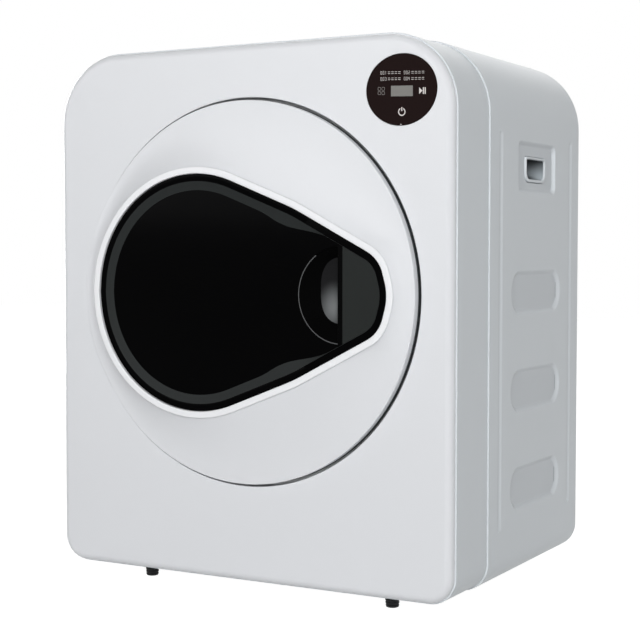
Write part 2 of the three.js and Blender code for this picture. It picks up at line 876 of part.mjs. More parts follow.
// Scoop bowl: a dished cup behind the window that reaches in behind the grip plate
function scoopBowl() {
  const front = window_back + gap;
  const inside = [];
  for (let i = 0; i <= corner_steps; i += 1) {
    const angle = (i / corner_steps) * quarter_turn;
    inside.push([(scoop_radius - gap) * Math.cos(angle), front + scoop_depth * Math.sin(angle)]);
  }
  const outside = inside.map(([radius, depth]) => {
    const grown = radius * (1 + scoop_wall / scoop_radius);
    return [grown, front + (depth - front) * (1 + scoop_wall / scoop_depth)];
  });
  const cup = revolve([[0, front - overrun], [scoop_radius + scoop_wall, front - overrun], ...outside]);
  const flange = rod(scoop_radius + scoop_flange + scoop_wall, front, front + scoop_wall, drum_steps);
  const front_side = block(
    [-2 * scoop_radius, front, -2 * scoop_radius],
    [scoop_behind + scoop_wall, front + 2 * scoop_depth, 2 * scoop_radius],
  );
  const pocket_side = block(
    [-2 * scoop_radius, front - 2 * overrun, -2 * scoop_radius],
    [scoop_behind, front + 2 * scoop_depth, 2 * scoop_radius],
  );
  const hollow = revolve([[0, front - overrun], [scoop_radius - gap, front - overrun], ...inside]);
  const inner_lid = block(
    [-scoop_radius, front - overrun, -2 * scoop_radius],
    [2 * scoop_radius, front, 2 * scoop_radius],
  );
  const clear_of_ring = loft('y', [
    windowSection(-window_seat - gap, front),
    windowSection(-window_seat - gap, front + 2 * scoop_depth),
  ]);
  return cup.add(flange).intersect(front_side).subtract(hollow.intersect(pocket_side)).subtract(inner_lid)
    .translate([scoop_x, 0, 0])
    .intersect(clear_of_ring);
}

// Inner liner of the door with the bowl that keeps the load in the drum
function doorLiner() {
  const notch_half = ear_high + hinge_head + hinge_slot_side;
  const hinge_notch_cut = block(
    [-door_radius, liner_front - overrun, -notch_half],
    [hinge_x + hinge_notch, liner_back + overrun, notch_half],
  );
  const bottom = liner_back + plug_depth;
  const outside = plug_radius - plug_draft;
  return revolve([
    [0, bottom - liner_wall],
    [outside - plug_round, bottom - liner_wall],
    [outside - liner_wall, bottom - plug_round],
    [plug_radius - liner_wall, liner_front],
    [liner_radius, liner_front],
    [liner_radius, liner_back],
    [plug_radius, liner_back],
    [outside, bottom - plug_round],
    [outside - plug_round, bottom],
    [0, bottom],
  ]).subtract(hinge_notch_cut);
}

function hingeLeaf() {
  const plate_back = liner_front - gap;
  const barrel = cylinderAlongZ(hinge_barrel_radius, -hinge_leaf_half, hinge_leaf_half);
  const plate = block(
    [0, plate_back - hinge_leaf_thick - hinge_y, -hinge_leaf_half],
    [hinge_leaf_reach, plate_back - hinge_y, hinge_leaf_half],
  );
  const web = block([0, 0, -hinge_leaf_half], [hinge_barrel_radius, plate_back - hinge_y, hinge_leaf_half]);
  const bore = cylinderAlongZ(hinge_pin_radius + gap, -hinge_leaf_half - overrun, hinge_leaf_half + overrun);
  return barrel.add(web).add(plate).subtract(bore).translate([hinge_x, hinge_y, 0]);
}

function cylinderAlongZ(radius, from, to) {
  return prism('z', ellipse(0, 0, radius, radius, small_steps), from, to);
}

const strike_back = liner_back + gap + strike_thick;
function strikePlate() {
  const half = [magnet_width / 2 + strike_border, magnet_height / 2 + strike_border];
  return block(
    [magnet_x - half[0], liner_back + gap, -half[1]],
    [magnet_x + half[0], strike_back, half[1]],
  );
}

const door_seal = tube(
  door_seal_radius,
  door_seal_radius + door_seal_width,
  liner_back + gap,
  recess_depth - gap,
);
add(drum_axis, 'door_ring', doorRing(), white_front);
add(drum_axis, 'door_window', doorWindow(), gloss_black);
add(drum_axis, 'grip_plate', gripPlate(), dark_grey);
add(drum_axis, 'scoop_bowl', scoopBowl(), gloss_black);
add(drum_axis, 'door_liner', doorLiner(), light_plastic);
add(drum_axis, 'door_seal', door_seal, rubber);
add(drum_axis, 'hinge_leaf', hingeLeaf(), zinc_steel);
add(drum_axis, 'strike_plate', strikePlate(), zinc_steel);

// Hinge bracket on the bulkhead: a base with two ears that hold the pin
function hingeBracket() {
  const base_back = recess_depth - gap - hinge_y;
  const base_front = base_back - hinge_plate_thick;
  let bracket = block(
    [-hinge_plate_left, base_front, -ear_high - hinge_plate_end],
    [hinge_plate_right, base_back, ear_high + hinge_plate_end],
  );
  for (const side of [-1, 1]) {
    const [low, high] = [side * ear_low, side * ear_high].sort((a, b) => a - b);
    const neck = block([-hinge_neck_left, 0, low], [hinge_neck_right, base_back, high]);
    bracket = bracket.add(neck).add(cylinderAlongZ(hinge_barrel_radius, low, high));
  }
  const bore = cylinderAlongZ(hinge_pin_radius + gap, -ear_high - overrun, ear_high + overrun);
  return bracket.subtract(bore).translate([hinge_x, hinge_y, 0]);
}

function hingePin() {
  const head = cylinderAlongZ(hinge_pin_radius + hinge_head, ear_high + gap, ear_high + hinge_head);
  return cylinderAlongZ(hinge_pin_radius, -ear_high, ear_high + hinge_head).add(head)
    .translate([hinge_x, hinge_y, 0]);
}
add(drum_axis, 'hinge_bracket', hingeBracket(), zinc_steel);
add(drum_axis, 'hinge_pin', hingePin(), steel);

// Front bulkhead with the throat that leads into the drum
const switch_x = switch_radius * Math.cos(switch_angle);
const switch_z = switch_radius * Math.sin(switch_angle);

function frontBulkhead() {
  const outline = cabinetOutline(frame_inset + cabinet_wall + gap);
  const plate = prism('y', outline, recess_depth, bulkhead_back).translate([-door_x, 0, -door_z]);
  const collar = rod(collar_radius, recess_depth + bulkhead_wall / 2, throat_back, drum_steps);
  const throat = rod(throat_radius, recess_depth - overrun, throat_back + overrun, drum_steps);
  const plunger_hole = rod(plunger_radius + gap, recess_depth - overrun, bulkhead_back + overrun)
    .translate([switch_x, 0, switch_z]);
  return plate.add(collar).subtract(throat).subtract(plunger_hole);
}

function catchMagnet() {
  return block(
    [magnet_x - magnet_width / 2, strike_back + gap, -magnet_height / 2],
    [magnet_x + magnet_width / 2, recess_depth - gap, magnet_height / 2],
  );
}

function switchHousing() {
  const front = bulkhead_back + gap;
  const body = block([-switch_width / 2, front, -switch_height / 2], [switch_width / 2, front + switch_depth,
    switch_height / 2]);
  return body.subtract(rod(plunger_radius + gap, front - overrun, front + plunger_hidden + plunger_travel))
    .translate([switch_x, 0, switch_z]);
}
const front_felt = tube(
  collar_radius + gap,
  collar_radius + gap + drum_felt_thick,
  throat_back - drum_felt_length,
  throat_back,
);
const switch_plunger = rod(plunger_radius, liner_back + gap, bulkhead_back + plunger_hidden)
  .translate([switch_x, 0, switch_z]);
add(drum_axis, 'front_bulkhead', frontBulkhead(), light_plastic);
add(drum_axis, 'front_felt', front_felt, felt);
add(drum_axis, 'catch_magnet', catchMagnet(), dark_plastic);
add(drum_axis, 'switch_housing', switchHousing(), dark_plastic);
add(drum_axis, 'switch_plunger', switch_plunger, light_plastic);

// Drum shell: front lip, cylinder with rolled corners and a perforated rear wall
function drumShell() {
  const quarter = (x, y, radius, from) => {
    const arc = [];
    for (let i = 0; i <= edge_steps; i += 1) {
      const angle = from + (i / edge_steps) * quarter_turn;
      arc.push([x + radius * Math.cos(angle), y + radius * Math.sin(angle)]);
    }
    return arc;
  };
  const corner_r = drum_radius - drum_corner;
  const inner_corner = drum_corner - drum_wall;
  const front_corner = drum_front + drum_corner;
  const back_corner = drum_back - drum_corner;
  const start = [lip_radius, lip_front];
  const shell = revolve([
    start,
    [lip_radius + drum_wall, lip_front],
    [lip_radius + drum_wall, drum_front],
    ...quarter(corner_r, front_corner, drum_corner, -quarter_turn),
    ...quarter(corner_r, back_corner, drum_corner, 0),
    [hub_radius, drum_back],
    [hub_radius, drum_back - drum_wall],
    ...quarter(corner_r, back_corner, inner_corner, 0).reverse(),
    ...quarter(corner_r, front_corner, inner_corner, -quarter_turn).reverse(),
    [lip_radius, drum_front + drum_wall],
    start,
  ]);
  const holes = [];
  for (let ring = 0; ring < perforation_rings; ring += 1) {
    const radius = perforation_first + ring * perforation_pitch;
    for (let i = 0; i < perforation_count; i += 1) {
      const angle = ((i + ring / 2) / perforation_count) * full_turn;
      const hole = rod(perforation_radius, drum_back - drum_wall - overrun, drum_back + overrun, hole_steps);
      holes.push(hole.translate([radius * Math.cos(angle), 0, radius * Math.sin(angle)]));
    }
  }
  return shell.subtract(wasm.Manifold.union(holes));
}

// Lifter: a ridge on the drum wall with sloping ends
function drumLifter(angle) {
  const section = (height, at) => {
    const foot = lifter_width / 2;
    const crest = (lifter_top / 2) * (height / lifter_height) + (foot / 2) * (1 - height / lifter_height);
    const base = drum_radius;
    const top = drum_inner - height;
    const points = [
      [-foot, base], [-foot, drum_inner - drum_wall - lifter_end_height / 2], [-crest, top],
      [crest, top], [foot, drum_inner - drum_wall - lifter_end_height / 2], [foot, base],
    ].map(([across, out]) => new THREE.Vector2(across, out));
    return { points, at };
  };
  const [front, back] = [drum_front + drum_corner + gap, drum_back - drum_corner - gap];
  const ridge = loft('y', [
    section(lifter_end_height, front),
    section(lifter_height, front + lifter_end),
    section(lifter_height, back - lifter_end),
    section(lifter_end_height, back),
  ]);
  const bore = rod(drum_inner - gap, front - overrun, back + overrun, drum_steps);
  const degrees = THREE.MathUtils.radToDeg(angle);
  return ridge.rotate([0, degrees, 0]).intersect(bore);
}

const drum_hub = revolve([
  [hub_radius, hub_front],
  [hub_radius + hub_wall + hub_flange, hub_front],
  [hub_radius + hub_wall + hub_flange, hub_front + hub_flange_thick],
  [hub_radius + hub_wall, hub_front + hub_flange_thick],
  [hub_radius + hub_wall, hub_back],
  [hub_radius, hub_back],
  [hub_radius, hub_front],
]);
add(drum_axis, 'drum_shell', drumShell(), steel);
for (let i = 0; i < lifter_count; i += 1) {
  add(drum_axis, `drum_lifter_${i + 1}`, drumLifter((i / lifter_count) * full_turn), light_plastic);
}
add(drum_axis, 'drum_hub', drum_hub, aluminium);

// Lint filter: a cup in the hub with a grip bar across it, and a perforated screen
function filterFrame() {
  const outer = hub_radius - gap;
  const inner = outer - filter_wall;
  const flange_back = drum_back - drum_wall - gap;
  const flange_front = flange_back - filter_flange_thick;
  const ring = revolve([
    [inner, flange_front],
    [outer + filter_flange, flange_front],
    [outer + filter_flange, flange_back],
    [outer, flange_back],
    [outer, flange_back + filter_length],
    [inner, flange_back + filter_length],
    [inner, flange_front],
  ]);
  const bar = block(
    [-inner - filter_wall / 2, flange_front - filter_bar_height, -filter_bar_width / 2],
    [inner + filter_wall / 2, flange_front + filter_flange_thick / 2, filter_bar_width / 2],
  );
  return ring.add(bar);
}

function filterScreen() {
  const radius = hub_radius - gap - filter_wall - gap;
  const back = drum_back - drum_wall - gap + filter_length;
  const front = back - filter_screen_thick;
  const holes = [];
  for (let ring = 1; ring <= filter_hole_rings; ring += 1) {
    const count = ring * hole_steps;
    for (let i = 0; i < count; i += 1) {
      const angle = (i / count) * full_turn;
      const hole = rod(filter_hole_radius, front - overrun, back + overrun, hole_steps);
      const reach = ring * filter_hole_pitch;
      holes.push(hole.translate([reach * Math.cos(angle), 0, reach * Math.sin(angle)]));
    }
  }
  return rod(radius, front, back, drum_steps / 2).subtract(wasm.Manifold.union(holes));
}
add(drum_axis, 'filter_frame', filterFrame(), dark_plastic);
add(drum_axis, 'filter_screen', filterScreen(), light_plastic);

// Rear bulkhead with the drum's bush, the felt ring, and windows for hot air and the motor shaft
const heater_left = heater_x - heater_width / 2;
const heater_right = heater_x + heater_width / 2;
const shaft_x = motor_x - door_x;
const shaft_z = motor_z - door_z;

function rearBulkhead() {
  const outline = cabinetOutline(cabinet_wall + gap);
  const plate = prism('y', outline, rear_front, rear_back).translate([-door_x, 0, -door_z]);
  const bush_opening = rod(bush_hole, rear_front - overrun, rear_back + overrun, drum_steps);
  const window = block(
    [heater_left + heater_window, rear_front - overrun, heater_low + heater_window],
    [heater_right - heater_window, rear_back + overrun, heater_high - heater_window],
  );
  const shaft_hole = rod(2 * motor_shaft_radius, rear_front - overrun, rear_back + overrun)
    .translate([shaft_x, 0, shaft_z]);
  return plate.subtract(bush_opening).subtract(window).subtract(shaft_hole);
}
const drum_bush = revolve([
  [bush_inner, rear_front],
  [bush_inner + bush_wall, rear_front],
  [bush_inner + bush_wall, rear_back + gap],
  [bush_inner + bush_wall + bush_flange, rear_back + gap],
  [bush_inner + bush_wall + bush_flange, rear_back + gap + bush_flange_thick],
  [bush_inner, rear_back + gap + bush_flange_thick],
  [bush_inner, rear_front],
]);
const rear_felt = tube(rear_felt_radius, rear_felt_radius + rear_felt_width, drum_back + gap, rear_front - gap);
add(drum_axis, 'rear_bulkhead', rearBulkhead(), zinc_steel);
add(drum_axis, 'drum_bush', drum_bush, dark_plastic);
add(drum_axis, 'rear_felt', rear_felt, felt);

// Fan wheel: curved blades between a back plate and a front ring
function fanWheel() {
  const front = hub_back + 2 * fan_plate;
  const back = front + fan_width;
  const pieces = [
    tube(fan_shaft_radius + gap / 2, fan_radius, back - fan_plate, back),
    tube(fan_inner, fan_radius, front, front + fan_plate),
    tube(fan_shaft_radius + gap / 2, fan_hub_radius, front + fan_width / 2, back, small_steps),
  ];
  const blade_radius = fan_radius - fan_inner;
  const sweep = quarter_turn;
  const outer_arc = [];
  const inner_arc = [];
  for (let i = 0; i <= edge_steps; i += 1) {
    const angle = (i / edge_steps) * sweep;
    const point = (radius) => new THREE.Vector2(
      fan_inner + radius * Math.sin(angle) + fan_blade_wall / 4, radius * (1 - Math.cos(angle)) - radius + blade_radius);
    outer_arc.push(point(blade_radius - fan_blade_wall));
    inner_arc.unshift(point(blade_radius - 2 * fan_blade_wall));
  }
  const blade = prism('y', [...outer_arc, ...inner_arc], front + fan_plate / 2, back - fan_plate / 2);
  for (let i = 0; i < fan_blades; i += 1) {
    pieces.push(blade.rotate([0, (i / fan_blades) * THREE.MathUtils.radToDeg(full_turn), 0]));
  }
  return wasm.Manifold.union(pieces);
}

// Belt pulley with two cheeks, bored for its shaft
function pulley(radius, bore, from, to) {
  const cheek = radius + pulley_flange;
  const floor = [from + pulley_cheek, to - pulley_cheek];
  return revolve([
    [bore, from], [cheek, from], [cheek, floor[0]], [radius, floor[0]],
    [radius, floor[1]], [cheek, floor[1]], [cheek, to], [bore, to], [bore, from],
  ], drum_steps / 2);
}
const fan_bore = fan_shaft_radius + gap;
const shaft_end = pulley_back + gap;
add(drum_axis, 'fan_wheel', fanWheel(), dark_plastic);
add(drum_axis, 'fan_shaft', rod(fan_shaft_radius - gap / 2, hub_back + 3 * fan_plate, shaft_end), steel);
add(drum_axis, 'fan_pulley', pulley(fan_pulley_radius, fan_bore, pulley_front, pulley_back), dark_plastic);

// Fan housing: a spiral wall with an outlet at the top right, closed at the back
function voluteArea(margin, outlet) {
  const top = volute_start + volute_growth + margin;
  const tongue = volute_start - margin;
  const points = [new THREE.Vector2(outlet, tongue), new THREE.Vector2(outlet, top)];
  for (let i = drum_steps; i > 0; i -= 1) {
    const share = i / drum_steps;
    const angle = quarter_turn - share * full_turn;
    const radius = volute_start + share * volute_growth + margin;
    const point = new THREE.Vector2(radius * Math.cos(angle), radius * Math.sin(angle));
    if (point.x < 0 || point.y < tongue || i === drum_steps) {
      points.push(point);
    }
  }
  return points;
}

function fanHousing() {
  const inside = voluteArea(0, volute_outlet + overrun);
  const seat = rod(bearing_radius + gap, volute_front - overrun, volute_back + overrun);
  return prism('y', voluteArea(volute_wall, volute_outlet), volute_front, volute_back)
    .subtract(prism('y', inside, volute_front - overrun, volute_back - volute_wall))
    .subtract(seat);
}
const fan_bearing = tube(
  fan_shaft_radius + gap,
  bearing_radius,
  pulley_front - gap - bearing_length,
  pulley_front - gap,
  small_steps,
);
add(drum_axis, 'fan_housing', fanHousing(), light_plastic);
add(drum_axis, 'fan_bearing', fan_bearing, bronze);

// Exhaust elbow: a box at the fan's outlet with the round spigot through the back panel
const outlet_middle = volute_start + volute_growth / 2;

function exhaustElbow() {
  const box = (inset, from, to) => block(
    [elbow_left + inset, from, outlet_middle - elbow_reach + inset],
    [elbow_x + elbow_reach - inset, to, outlet_middle + elbow_reach - inset],
  );
  const back = cabinet_depth + spigot_length;
  const spigot = (radius, from, to) => rod(radius, from, to, 2 * small_steps).translate([elbow_x, 0, outlet_middle]);
  const inlet = block(
    [elbow_left - overrun, volute_front + volute_wall, volute_start],
    [elbow_x, volute_back - volute_wall, volute_start + volute_growth],
  );
  return box(0, volute_front, volute_back)
    .add(spigot(spigot_radius, volute_back - volute_wall, back))
    .subtract(box(volute_wall, volute_front + volute_wall, volute_back - volute_wall))
    .subtract(spigot(spigot_radius - spigot_wall, volute_back - 2 * volute_wall, back + overrun))
    .subtract(inlet);
}
add(drum_axis, 'exhaust_elbow', exhaustElbow(), light_plastic);

// Heater: a duct between the back panel's louvres and the window, with a finned element
function heaterDuct() {
  const side = (inset, from, to) => block(
    [heater_left + inset, from, heater_low + inset],
    [heater_right - inset, to, heater_high - inset],
  );
  return side(0, volute_front, volute_back)
    .subtract(side(heater_wall, volute_front - overrun, volute_back + overrun));
}

function heaterElement() {
  const inset = heater_wall + gap;
  const front = volute_back - element_back - element_depth;
  const back = front + element_depth;
  const [left, right] = [heater_left + inset, heater_right - inset];
  const [low, high] = [heater_low + inset, heater_high - inset];
  const block_of_fins = block([left, front, low], [right, back, high]);
  const column = (right - left - 2 * element_border + element_fin_wall) / element_fins;
  const row = (high - low - 2 * element_border + element_rib) / element_rows;
  const slots = [];
  for (let i = 0; i < element_fins; i += 1) {
    for (let j = 0; j < element_rows; j += 1) {
      const x = left + element_border + i * column;
      const z = low + element_border + j * row;
      slots.push(block([x, front - overrun, z], [x + column - element_fin_wall, back + overrun, z + row - element_rib]));
    }
  }
  return block_of_fins.subtract(wasm.Manifold.union(slots));
}

function thermostat() {
  const outline = ellipse(
    (volute_front + volute_back) / 2, -heater_drop, thermostat_radius, thermostat_radius, small_steps);
  const seat = heater_right + gap;
  return prism('x', outline, seat, seat + thermostat_length);
}
add(drum_axis, 'heater_duct', heaterDuct(), zinc_steel);
add(drum_axis, 'heater_element', heaterElement(), aluminium);
add(drum_axis, 'thermostat', thermostat(), dark_plastic);

// Motor on its bracket, with a shaft that drives the drum in front and the fan behind
const motor_body = revolve([
  [motor_shaft_radius + gap, motor_front - motor_nose_length],
  [motor_nose_radius, motor_front - motor_nose_length],
  [motor_nose_radius, motor_front],
  [motor_radius - motor_bell, motor_front],
  [motor_radius, motor_front + motor_bell],
  [motor_radius, motor_back - motor_bell],
  [motor_radius - motor_bell, motor_back],
  [motor_nose_radius, motor_back],
  [motor_nose_radius, motor_back + motor_nose_length],
  [motor_shaft_radius + gap, motor_back + motor_nose_length],
  [motor_shaft_radius + gap, motor_front - motor_nose_length],
], 2 * small_steps);

function motorBracket() {
  const floor = foot_height + cabinet_wall + gap - motor_z;
  const reach = motor_radius - bracket_margin;
  const outer = [motor_front - gap - bracket_thick, motor_back + gap + bracket_thick];
  const cheek = (from) => {
    const top = prism(
      'y',
      ellipse(0, 0, motor_nose_radius + bracket_crown, motor_nose_radius + bracket_crown),
      from,
      from + bracket_thick,
    );
    return top.add(block([-reach, from, floor], [reach, from + bracket_thick, 0]));
  };
  const bore = rod(motor_nose_radius + gap, outer[0] - overrun, outer[1] + overrun, 2 * small_steps);
  return block([-reach, outer[0], floor], [reach, outer[1], floor + bracket_thick])
    .add(cheek(outer[0]))
    .add(cheek(motor_back + gap))
    .subtract(bore);
}
const drum_belt_back = motor_front - motor_nose_length - motor_pulley_space;
const drum_belt_front = drum_belt_back - pulley_face;
const motor_shaft = rod(motor_shaft_radius, drum_belt_front - gap, shaft_end);
const motor_bore = motor_shaft_radius + gap;
add(motor_axis, 'motor_body', motor_body, zinc_steel);
add(motor_axis, 'motor_bracket', motorBracket(), zinc_steel);
add(motor_axis, 'motor_shaft', motor_shaft, steel);
add(motor_axis, 'motor_pulley', pulley(motor_pulley_radius, motor_bore, drum_belt_front, drum_belt_back), aluminium);
add(motor_axis, 'blower_pulley', pulley(blower_pulley_radius, motor_bore, pulley_front, pulley_back), dark_plastic);

// Belts: one around the drum, one to the fan
function belt(first, second, middle) {
  const [from, to] = [middle - belt_width / 2, middle + belt_width / 2];
  const outer = prism('y', beltLoop(first + gap + belt_thick, second + gap + belt_thick, shaft_x, shaft_z), from, to);
  const inner_loop = beltLoop(first + gap, second + gap, shaft_x, shaft_z);
  return outer.subtract(prism('y', inner_loop, from - overrun, to + overrun));
}
const drum_belt_middle = (drum_belt_front + drum_belt_back) / 2;
const fan_belt_middle = (pulley_front + pulley_back) / 2;
add(drum_axis, 'drum_belt', belt(drum_radius, motor_pulley_radius, drum_belt_middle), rubber);
add(drum_axis, 'fan_belt', belt(fan_pulley_radius, blower_pulley_radius, fan_belt_middle), rubber);

// Run capacitor in its clip on the floor of the cabinet
const capacitor_z = foot_height + cabinet_wall + gap + clip_wall + gap + capacitor_radius;
const capacitor = revolve([
  [0, capacitor_front],
  [capacitor_radius - foot_chamfer, capacitor_front],
  [capacitor_radius, capacitor_front + foot_chamfer],
  [capacitor_radius, capacitor_back - foot_chamfer],
  [capacitor_radius - foot_chamfer, capacitor_back],
  [0, capacitor_back],
], small_steps).translate([capacitor_x, 0, capacitor_z]);

function capacitorClip() {
  const [from, to] = [capacitor_front + clip_length, capacitor_front + 2 * clip_length];
  const outer = capacitor_radius + gap + clip_wall;
  const floor = foot_height + cabinet_wall + gap;
  const ring = rod(outer, from, to).translate([capacitor_x, 0, capacitor_z]);
  const base = block([capacitor_x - outer, from, floor], [capacitor_x + outer, to, floor + clip_wall]);
  const bore = rod(capacitor_radius + gap, from - overrun, to + overrun).translate([capacitor_x, 0, capacitor_z]);
  return ring.add(base).subtract(bore);
}
add(dryer, 'run_capacitor', capacitor, light_plastic);
add(dryer, 'capacitor_clip', capacitorClip(), dark_plastic);

// Back panel with louvres for the intake, a hole for the spigot and one for the lead's gland
function backPanel() {
  const plate = prism('y', cabinetOutline(cabinet_wall + gap), back_panel_front, back_panel_back);
  const cuts = [
    rod(spigot_radius + gap, back_panel_front - overrun, back_panel_back + overrun, 2 * small_steps)
      .translate([door_x + elbow_x, 0, door_z + outlet_middle]),
    rod(gland_radius + gap, back_panel_front - overrun, back_panel_back + overrun).translate([gland_x, 0, gland_z]),
  ];
  for (let i = 0; i < louvre_columns; i += 1) {
    for (let j = 0; j < louvre_rows; j += 1) {
      const x = door_x + heater_x + (i - (louvre_columns - 1) / 2) * (louvre_length + louvre_space);
      const z = door_z - heater_drop + (j - (louvre_rows - 1) / 2) * louvre_pitch;
      cuts.push(block(
        [x - louvre_length / 2, back_panel_front - overrun, z - louvre_height / 2],
        [x + louvre_length / 2, back_panel_back + overrun, z + louvre_height / 2],
      ));
    }
  }
  return plate.subtract(wasm.Manifold.union(cuts));
}
const gland_seat = back_panel_back + gap;
const inlet_gland = revolve([
  [gland_bore, gland_seat - gland_front],
  [gland_radius, gland_seat - gland_front],
  [gland_radius, gland_seat],
  [gland_flange, gland_seat],
  [gland_flange, gland_seat + gland_flange_thick],
  [gland_radius, gland_seat + gland_flange_thick],
  [gland_radius - gland_flange_thick, gland_seat + gland_back],
  [gland_bore, gland_seat + gland_back],
  [gland_bore, gland_seat - gland_front],
], small_steps).translate([gland_x, 0, gland_z]);
add(dryer, 'back_panel', backPanel(), zinc_steel);
add(dryer, 'inlet_gland', inlet_gland, rubber);

// Feet: the front pair stands under the front frame, which is drawn in a little
function foot(height) {
  const profile = [[0, 0], [foot_tip_radius - foot_chamfer, 0], [foot_tip_radius, foot_chamfer], [foot_radius, height],
    [0, height]];
  const turned = new THREE.LatheGeometry(profile.map(([r, z]) => new THREE.Vector2(r, z)), small_steps);
  turned.rotateX(quarter_turn);
  return solidOf(turned);
}
for (const [side, sign] of [['left', -1], ['right', 1]]) {
  const front_foot = add(dryer, `foot_front_${side}`, foot(foot_height + frame_inset - gap), rubber);
  front_foot.position.set(sign * foot_x, foot_front, 0);
  const back_foot = add(dryer, `foot_back_${side}`, foot(foot_height - gap), rubber);
  back_foot.position.set(sign * foot_x, foot_back, 0);
}

// The machine's box is centred over the origin
dryer.position.y = (rim_proud - cabinet_depth - spigot_length) / 2;

export default dryer;
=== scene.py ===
import math

import bmesh
import bpy
import numpy as np
from mathutils import Matrix, Vector
from mathutils.geometry import delaunay_2d_cdt


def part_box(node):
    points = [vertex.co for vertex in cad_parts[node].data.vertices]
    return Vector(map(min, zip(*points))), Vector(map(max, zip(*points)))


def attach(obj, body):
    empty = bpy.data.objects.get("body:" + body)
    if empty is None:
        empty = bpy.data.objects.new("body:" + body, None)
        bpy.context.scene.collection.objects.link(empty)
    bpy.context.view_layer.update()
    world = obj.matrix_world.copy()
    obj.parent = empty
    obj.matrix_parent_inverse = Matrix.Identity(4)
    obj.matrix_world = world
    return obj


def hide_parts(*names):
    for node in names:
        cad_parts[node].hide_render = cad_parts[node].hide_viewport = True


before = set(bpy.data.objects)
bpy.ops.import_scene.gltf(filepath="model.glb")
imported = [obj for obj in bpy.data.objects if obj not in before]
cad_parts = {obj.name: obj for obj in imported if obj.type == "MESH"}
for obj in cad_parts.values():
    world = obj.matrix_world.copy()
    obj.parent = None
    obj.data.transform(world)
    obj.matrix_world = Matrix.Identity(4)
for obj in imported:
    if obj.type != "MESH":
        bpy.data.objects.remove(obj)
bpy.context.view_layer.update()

# Units, and what every piece is drawn from: the face of the cabinet and the door's centre
mm = 0.001
face_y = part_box("front_cover")[0].y
door_low, door_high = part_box("door_ring")
door_x = (door_low.x + door_high.x) / 2
door_z = (door_low.z + door_high.z) / 2
at_face = Vector((0, face_y, 0))
at_door = Vector((door_x, face_y, door_z))
whole_turn = 2 * math.pi
half_turn = math.pi
quarter_turn = math.pi / 2

# Cabinet
cabinet_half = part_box("cabinet_shell")[1].x
cabinet_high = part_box("cabinet_shell")[1].z
cabinet_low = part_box("cabinet_shell")[0].z
shell_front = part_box("cabinet_shell")[0].y - face_y
shell_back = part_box("cabinet_shell")[1].y - face_y
frame_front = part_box("front_frame")[0].y - face_y
seam = 0.03 * mm
cover_back = frame_front - seam
sleeve_back = shell_front - seam
top_corner = 80 * mm
bottom_corner = 31 * mm
cabinet_wall = 2.6 * mm
frame_inset = cabinet_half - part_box("front_frame")[1].x
cover_inset = cabinet_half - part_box("front_cover")[1].x
cover_edge = 8.4 * mm
cover_wall = 3 * mm
ledge_round = 0.4 * mm
gap = 0.3 * mm

# Embossed sides
emboss_depth = 3.2 * mm
pad_slopes = (8.5 * mm, 6 * mm)
plate_depth = 4 * mm
plate_slopes = (3.6 * mm, 6 * mm)
groove_depth = 1.5 * mm
groove_front_flank = 4.3 * mm
groove_back_flank = 7 * mm
groove_front = 119 * mm
groove_back = shell_back - 28.5 * mm
side_middle = (shell_front + shell_back) / 2
groove_low = 76 * mm
groove_high = 505 * mm
pad_length = 153 * mm
pad_height = 49 * mm
pad_bulge = 20 * mm
pad_low = 116.4 * mm
pad_pitch = 107.6 * mm
pad_count = 3
grip_plate_width = 114.6 * mm
grip_plate_height = 58 * mm
grip_plate_corner = 9 * mm
grip_height = 469.2 * mm
grip_collar_width = 62 * mm
grip_shift = 0.6 * mm
grip_collar_height = 28.6 * mm
grip_collar_top = 3.5 * mm
grip_collar_bottom = 11 * mm
grip_drop = 2 * mm

# Door
door_radius = (door_high.x - door_low.x) / 2
opening_radius = door_radius + 3.2 * mm
opening_lip = 1.0 * mm
recess_back = 17.7 * mm
door_proud = 6.8 * mm
door_tilt = 1.4 * mm
door_edge = 1 * mm
hinge_bulge = 5.2 * mm
hinge_bulge_ends = (math.radians(15.5), math.radians(36))
door_back = door_high.y - face_y
door_wall = 2.6 * mm
rim_proud = face_y - door_low.y
rim_width = 7.4 * mm
rim_round = 1.3 * mm
rim_drop = 3 * mm
cove_power = 2.2
window_round = 128 * mm
window_round_x = -51.8 * mm
window_side = 181 * mm
window_side_x = -3.4 * mm
window_side_z = -75.9 * mm
window_tip = 35 * mm
window_tip_x = 141 * mm
window_tip_z = 13.5 * mm
window_nose = 52 * mm
window_nose_x = 127 * mm
window_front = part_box("door_window")[0].y - face_y
window_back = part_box("door_window")[1].y - face_y
window_border = 8 * mm
window_dish = 1.8 * mm
window_seat = 4 * mm
scoop_x = 126 * mm
scoop_radius = 50.5 * mm

# Rings of points
outline_steps = 24
round_steps = 192
door_steps = 288
fine_steps = 64
edge_steps = 6


# Outlines are arrays of (across, up) points, counter-clockwise
def arc(x, y, radius, start, end, steps):
    angles = np.linspace(start, end, steps + 1)
    return np.stack([x + radius * np.cos(angles), y + radius * np.sin(angles)], axis=1)


def circle(radius, steps=round_steps, x=0.0, y=0.0):
    angles = np.arange(steps) / steps * whole_turn
    return np.stack([x + radius * np.cos(angles), y + radius * np.sin(angles)], axis=1)


def ellipse(x, y, half_x, half_y, steps=round_steps):
    angles = np.arange(steps) / steps * whole_turn
    return np.stack([x + half_x * np.cos(angles), y + half_y * np.sin(angles)], axis=1)


def rounded_box(x, y, width, height, above, below=None, steps=outline_steps):
    below = above if below is None else below
    left, right = x - width / 2, x + width / 2
    low, high = y - height / 2, y + height / 2
    return np.concatenate([
        arc(right - below, low + below, below, -quarter_turn, 0, steps),
        arc(right - above, high - above, above, 0, quarter_turn, steps),
        arc(left + above, high - above, above, quarter_turn, half_turn, steps),
        arc(left + below, low + below, below, half_turn, half_turn + quarter_turn, steps),
    ])


